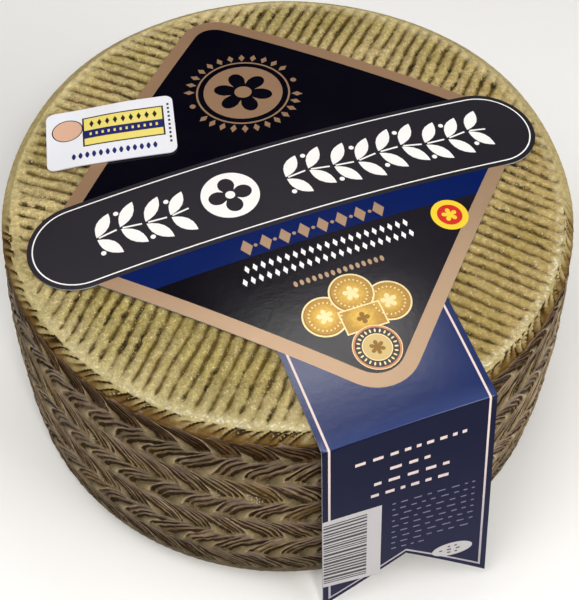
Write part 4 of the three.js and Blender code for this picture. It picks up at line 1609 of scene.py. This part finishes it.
class CHEESE_OT_small_card(PieceOperator):
    """Adds the small white card and what is printed on it"""

    bl_idname = "cheese.small_card"
    bl_label = "Small card"

    def execute(self, context):
        look = context.scene.cheese_small_card
        fields = [
            ("card", rounded(SMALL_WIDTH / 2, SMALL_HEIGHT / 2, SMALL_CORNER)),
            ("ink", rectangle(-9.8, -5.6, 19.2, 9.6)),
            ("yellow", rectangle(-9.2, -5.0, 18.6, 9.0)),
            ("navy", rectangle(-9.2, -1.6, 18.6, 2.6)),
            ("ink", disc(-15.2, 4.4, 5.6, 36)),
            ("rose", disc(-15.2, 4.4, 5.2, 36)),
        ]
        finishes = {
            "card": ink_finish("white_card", look.white, 0.34, 0.03),
            "yellow": ink_finish("yellow_card_ink", look.yellow, 0.36, 0.06),
            "navy": ink_finish("navy_card_ink", look.navy, 0.36, 0.06),
            "ink": ink_finish("dark_card_ink", look.ink, 0.4, 0.1),
            "rose": ink_finish("rose_card_ink", look.rose, 0.38, 0.08),
            "board": ink_finish("small_card_edge", from_screen(220, 220, 226), 0.55, 0.08),
        }
        spots = spots_over(-21, 22, -13.5, 14, 2.5)

        def place(x, y, side):
            return on_small_card(x, y, side * SMALL_THICKNESS)

        card = printed_card("small_card_fields", fields, [], spots, place, finishes)
        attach(card, "root")
        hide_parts("small_card")

        edge_marks = [(20.9, y, 1.1, 1.5, 0.0) for y in np.linspace(-9, 10, 10)]
        box_marks = [(x, 5.8, 1.6, 3.6, 0.0) for x in np.linspace(-6.5, 16, 9)]
        for name, marks, ink, shape in (
            ("card_script_marks", row_of(-14, 16, -9.9, 13, 1.5, 3.0), "navy", LEAF),
            ("card_edge_marks", edge_marks, "ink", BAR),
            ("card_box_marks", box_marks, "ink", LOZENGE),
            ("card_band_marks", row_of(-7.5, 17, 0.5, 12, 1.1, 1.9), "yellow", BAR),
        ):
            finish = finishes[ink]
            lay_marks(name, marks, on_small_card, finish, "small_card", "small_card", SMALL_LIFT, **shape)
        return {"FINISHED"}


def facing(place, target):
    """The turn that points an object's -Z from its place to a target."""
    return (Vector(target) - Vector(place)).to_track_quat("-Z", "Y").to_euler()


def soft_light(name, place, size, power, colour, target=None):
    """An oblong light that points straight down, or at a target."""
    lamp = bpy.data.lights.new(name, "AREA")
    lamp.shape = "RECTANGLE"
    lamp.size, lamp.size_y = size
    lamp.energy = power
    lamp.color = colour
    made = bpy.data.objects.new(name, lamp)
    made.location = place
    if target:
        made.rotation_euler = facing(place, target)
    bpy.context.scene.collection.objects.link(made)
    return made


def pale_floor(colour):
    corners = [(x * FLOOR_REACH, y * FLOOR_REACH, 0) for x, y in ((-1, -1), (1, -1), (1, 1), (-1, 1))]
    floor = piece_from("studio_floor", corners, [(0, 1, 2, 3)])
    material, w, shader = new_finish("pale_floor")
    grain = w.noise(w.node("ShaderNodeTexCoord").outputs["Object"], 60.0, 3.0)
    w.put(shader.inputs["Base Color"], w.shaded(colour, w.between(grain, 0.99, 1.0)))
    shader.inputs["Roughness"].default_value = 0.8
    floor.data.materials.append(material)


def even_room(strength):
    """A room of even light, brighter where the camera sees it."""
    world = bpy.data.worlds.new("studio")
    world.use_nodes = True
    w = Wires(world.node_tree)
    ground = world.node_tree.nodes["Background"]
    ground.inputs["Color"].default_value = (1.0, 0.99, 0.97, 1.0)
    seen = w.node("ShaderNodeLightPath").outputs["Is Camera Ray"]
    w.put(ground.inputs["Strength"], w.between(seen, strength, 0.95))
    bpy.context.scene.world = world


def photo_camera():
    camera = bpy.data.cameras.new("photo_camera")
    camera.sensor_fit = "HORIZONTAL"
    camera.sensor_width = SENSOR
    camera.lens = FOCAL_PIXELS / IMAGE_WIDTH * SENSOR
    camera.shift_x = (IMAGE_WIDTH / 2 - PICTURE_CENTRE[0]) / IMAGE_WIDTH
    camera.shift_y = (PICTURE_CENTRE[1] - IMAGE_HEIGHT / 2) / IMAGE_WIDTH
    camera.clip_start, camera.clip_end = 0.01, 20.0
    a, e, r = CAMERA_AZIMUTH, CAMERA_ELEVATION, CAMERA_ROLL
    back = Vector((math.sin(a) * math.cos(e), -math.cos(a) * math.cos(e), math.sin(e)))
    right = Vector((math.cos(a), math.sin(a), 0.0))
    tilted = right * math.cos(r) + back.cross(right) * math.sin(r)
    turned = Matrix((tilted, back.cross(tilted), back)).transposed()
    seen_from = bpy.data.objects.new("photo_camera", camera)
    seen_from.rotation_mode = "QUATERNION"
    seen_from.rotation_quaternion = turned.to_quaternion()
    seen_from.location = CAMERA_PLACE
    bpy.context.scene.collection.objects.link(seen_from)
    bpy.context.scene.camera = seen_from


class CHEESE_OT_stage(PieceOperator):
    """Adds the floor, the soft light and the camera"""

    bl_idname = "cheese.stage"
    bl_label = "Studio"

    def execute(self, context):
        look = context.scene.cheese_studio
        context.scene.view_settings.view_transform = "Standard"
        pale_floor(look.floor)
        even_room(look.sky)
        softbox = soft_light("softbox", (-0.52, -0.16, 1.15), (1.05, 1.05), look.softbox, (1.0, 0.985, 0.96))
        softbox.rotation_euler = (0.0, 0.0, SOFTBOX_TURN)
        soft_light("key", (-0.1, -0.8, 1.0), (0.16, 0.16), look.key, (1.0, 0.97, 0.93), (0.0, 0.0, 0.08))
        soft_light("sheen", (0.26, 0.345, 1.15), (0.36, 0.22), look.sheen, (1.0, 0.98, 0.95))
        soft_light("fill", (0.8, -0.9, 0.7), (0.9, 0.7), look.fill, (1.0, 0.99, 0.98), (0.0, 0.0, 0.05))
        photo_camera()
        return {"FINISHED"}


class CHEESE_PT_panel(bpy.types.Panel):
    """Lists the pieces of the cheese"""

    bl_idname = "CHEESE_PT_panel"
    bl_label = "Cheese"
    bl_space_type = "VIEW_3D"
    bl_region_type = "UI"
    bl_category = "Cheese"

    def draw(self, context):
        for look, operators in PANEL_ROWS:
            box = self.layout.box()
            settings = getattr(context.scene, look)
            for name in settings.bl_rna.properties.keys():
                if name not in {"rna_type", "name"}:
                    box.prop(settings, name)
            for operator in operators:
                box.operator(operator.bl_idname)


PANEL_ROWS = (
    ("cheese_wheel", (CHEESE_OT_wheel,)),
    ("cheese_label", (CHEESE_OT_label, CHEESE_OT_label_marks)),
    ("cheese_small_card", (CHEESE_OT_small_card,)),
    ("cheese_studio", (CHEESE_OT_stage,)),
)
LOOKS = {
    "cheese_wheel": WheelLook,
    "cheese_label": LabelLook,
    "cheese_small_card": SmallCardLook,
    "cheese_studio": StudioLook,
}
OPERATORS = [operator for _, operators in PANEL_ROWS for operator in operators]


def register():
    for look in LOOKS.values():
        bpy.utils.register_class(look)
    for name, look in LOOKS.items():
        setattr(bpy.types.Scene, name, PointerProperty(type=look))
    for operator in OPERATORS:
        bpy.utils.register_class(operator)
    bpy.utils.register_class(CHEESE_PT_panel)


def unregister():
    bpy.utils.unregister_class(CHEESE_PT_panel)
    for operator in reversed(OPERATORS):
        bpy.utils.unregister_class(operator)
    for name, look in LOOKS.items():
        delattr(bpy.types.Scene, name)
        bpy.utils.unregister_class(look)


def main():
    register()
    bpy.ops.cheese.wheel()
    bpy.ops.cheese.label()
    bpy.ops.cheese.label_marks()
    bpy.ops.cheese.small_card()
    bpy.ops.cheese.stage()


if __name__ == "__main__":
    main()
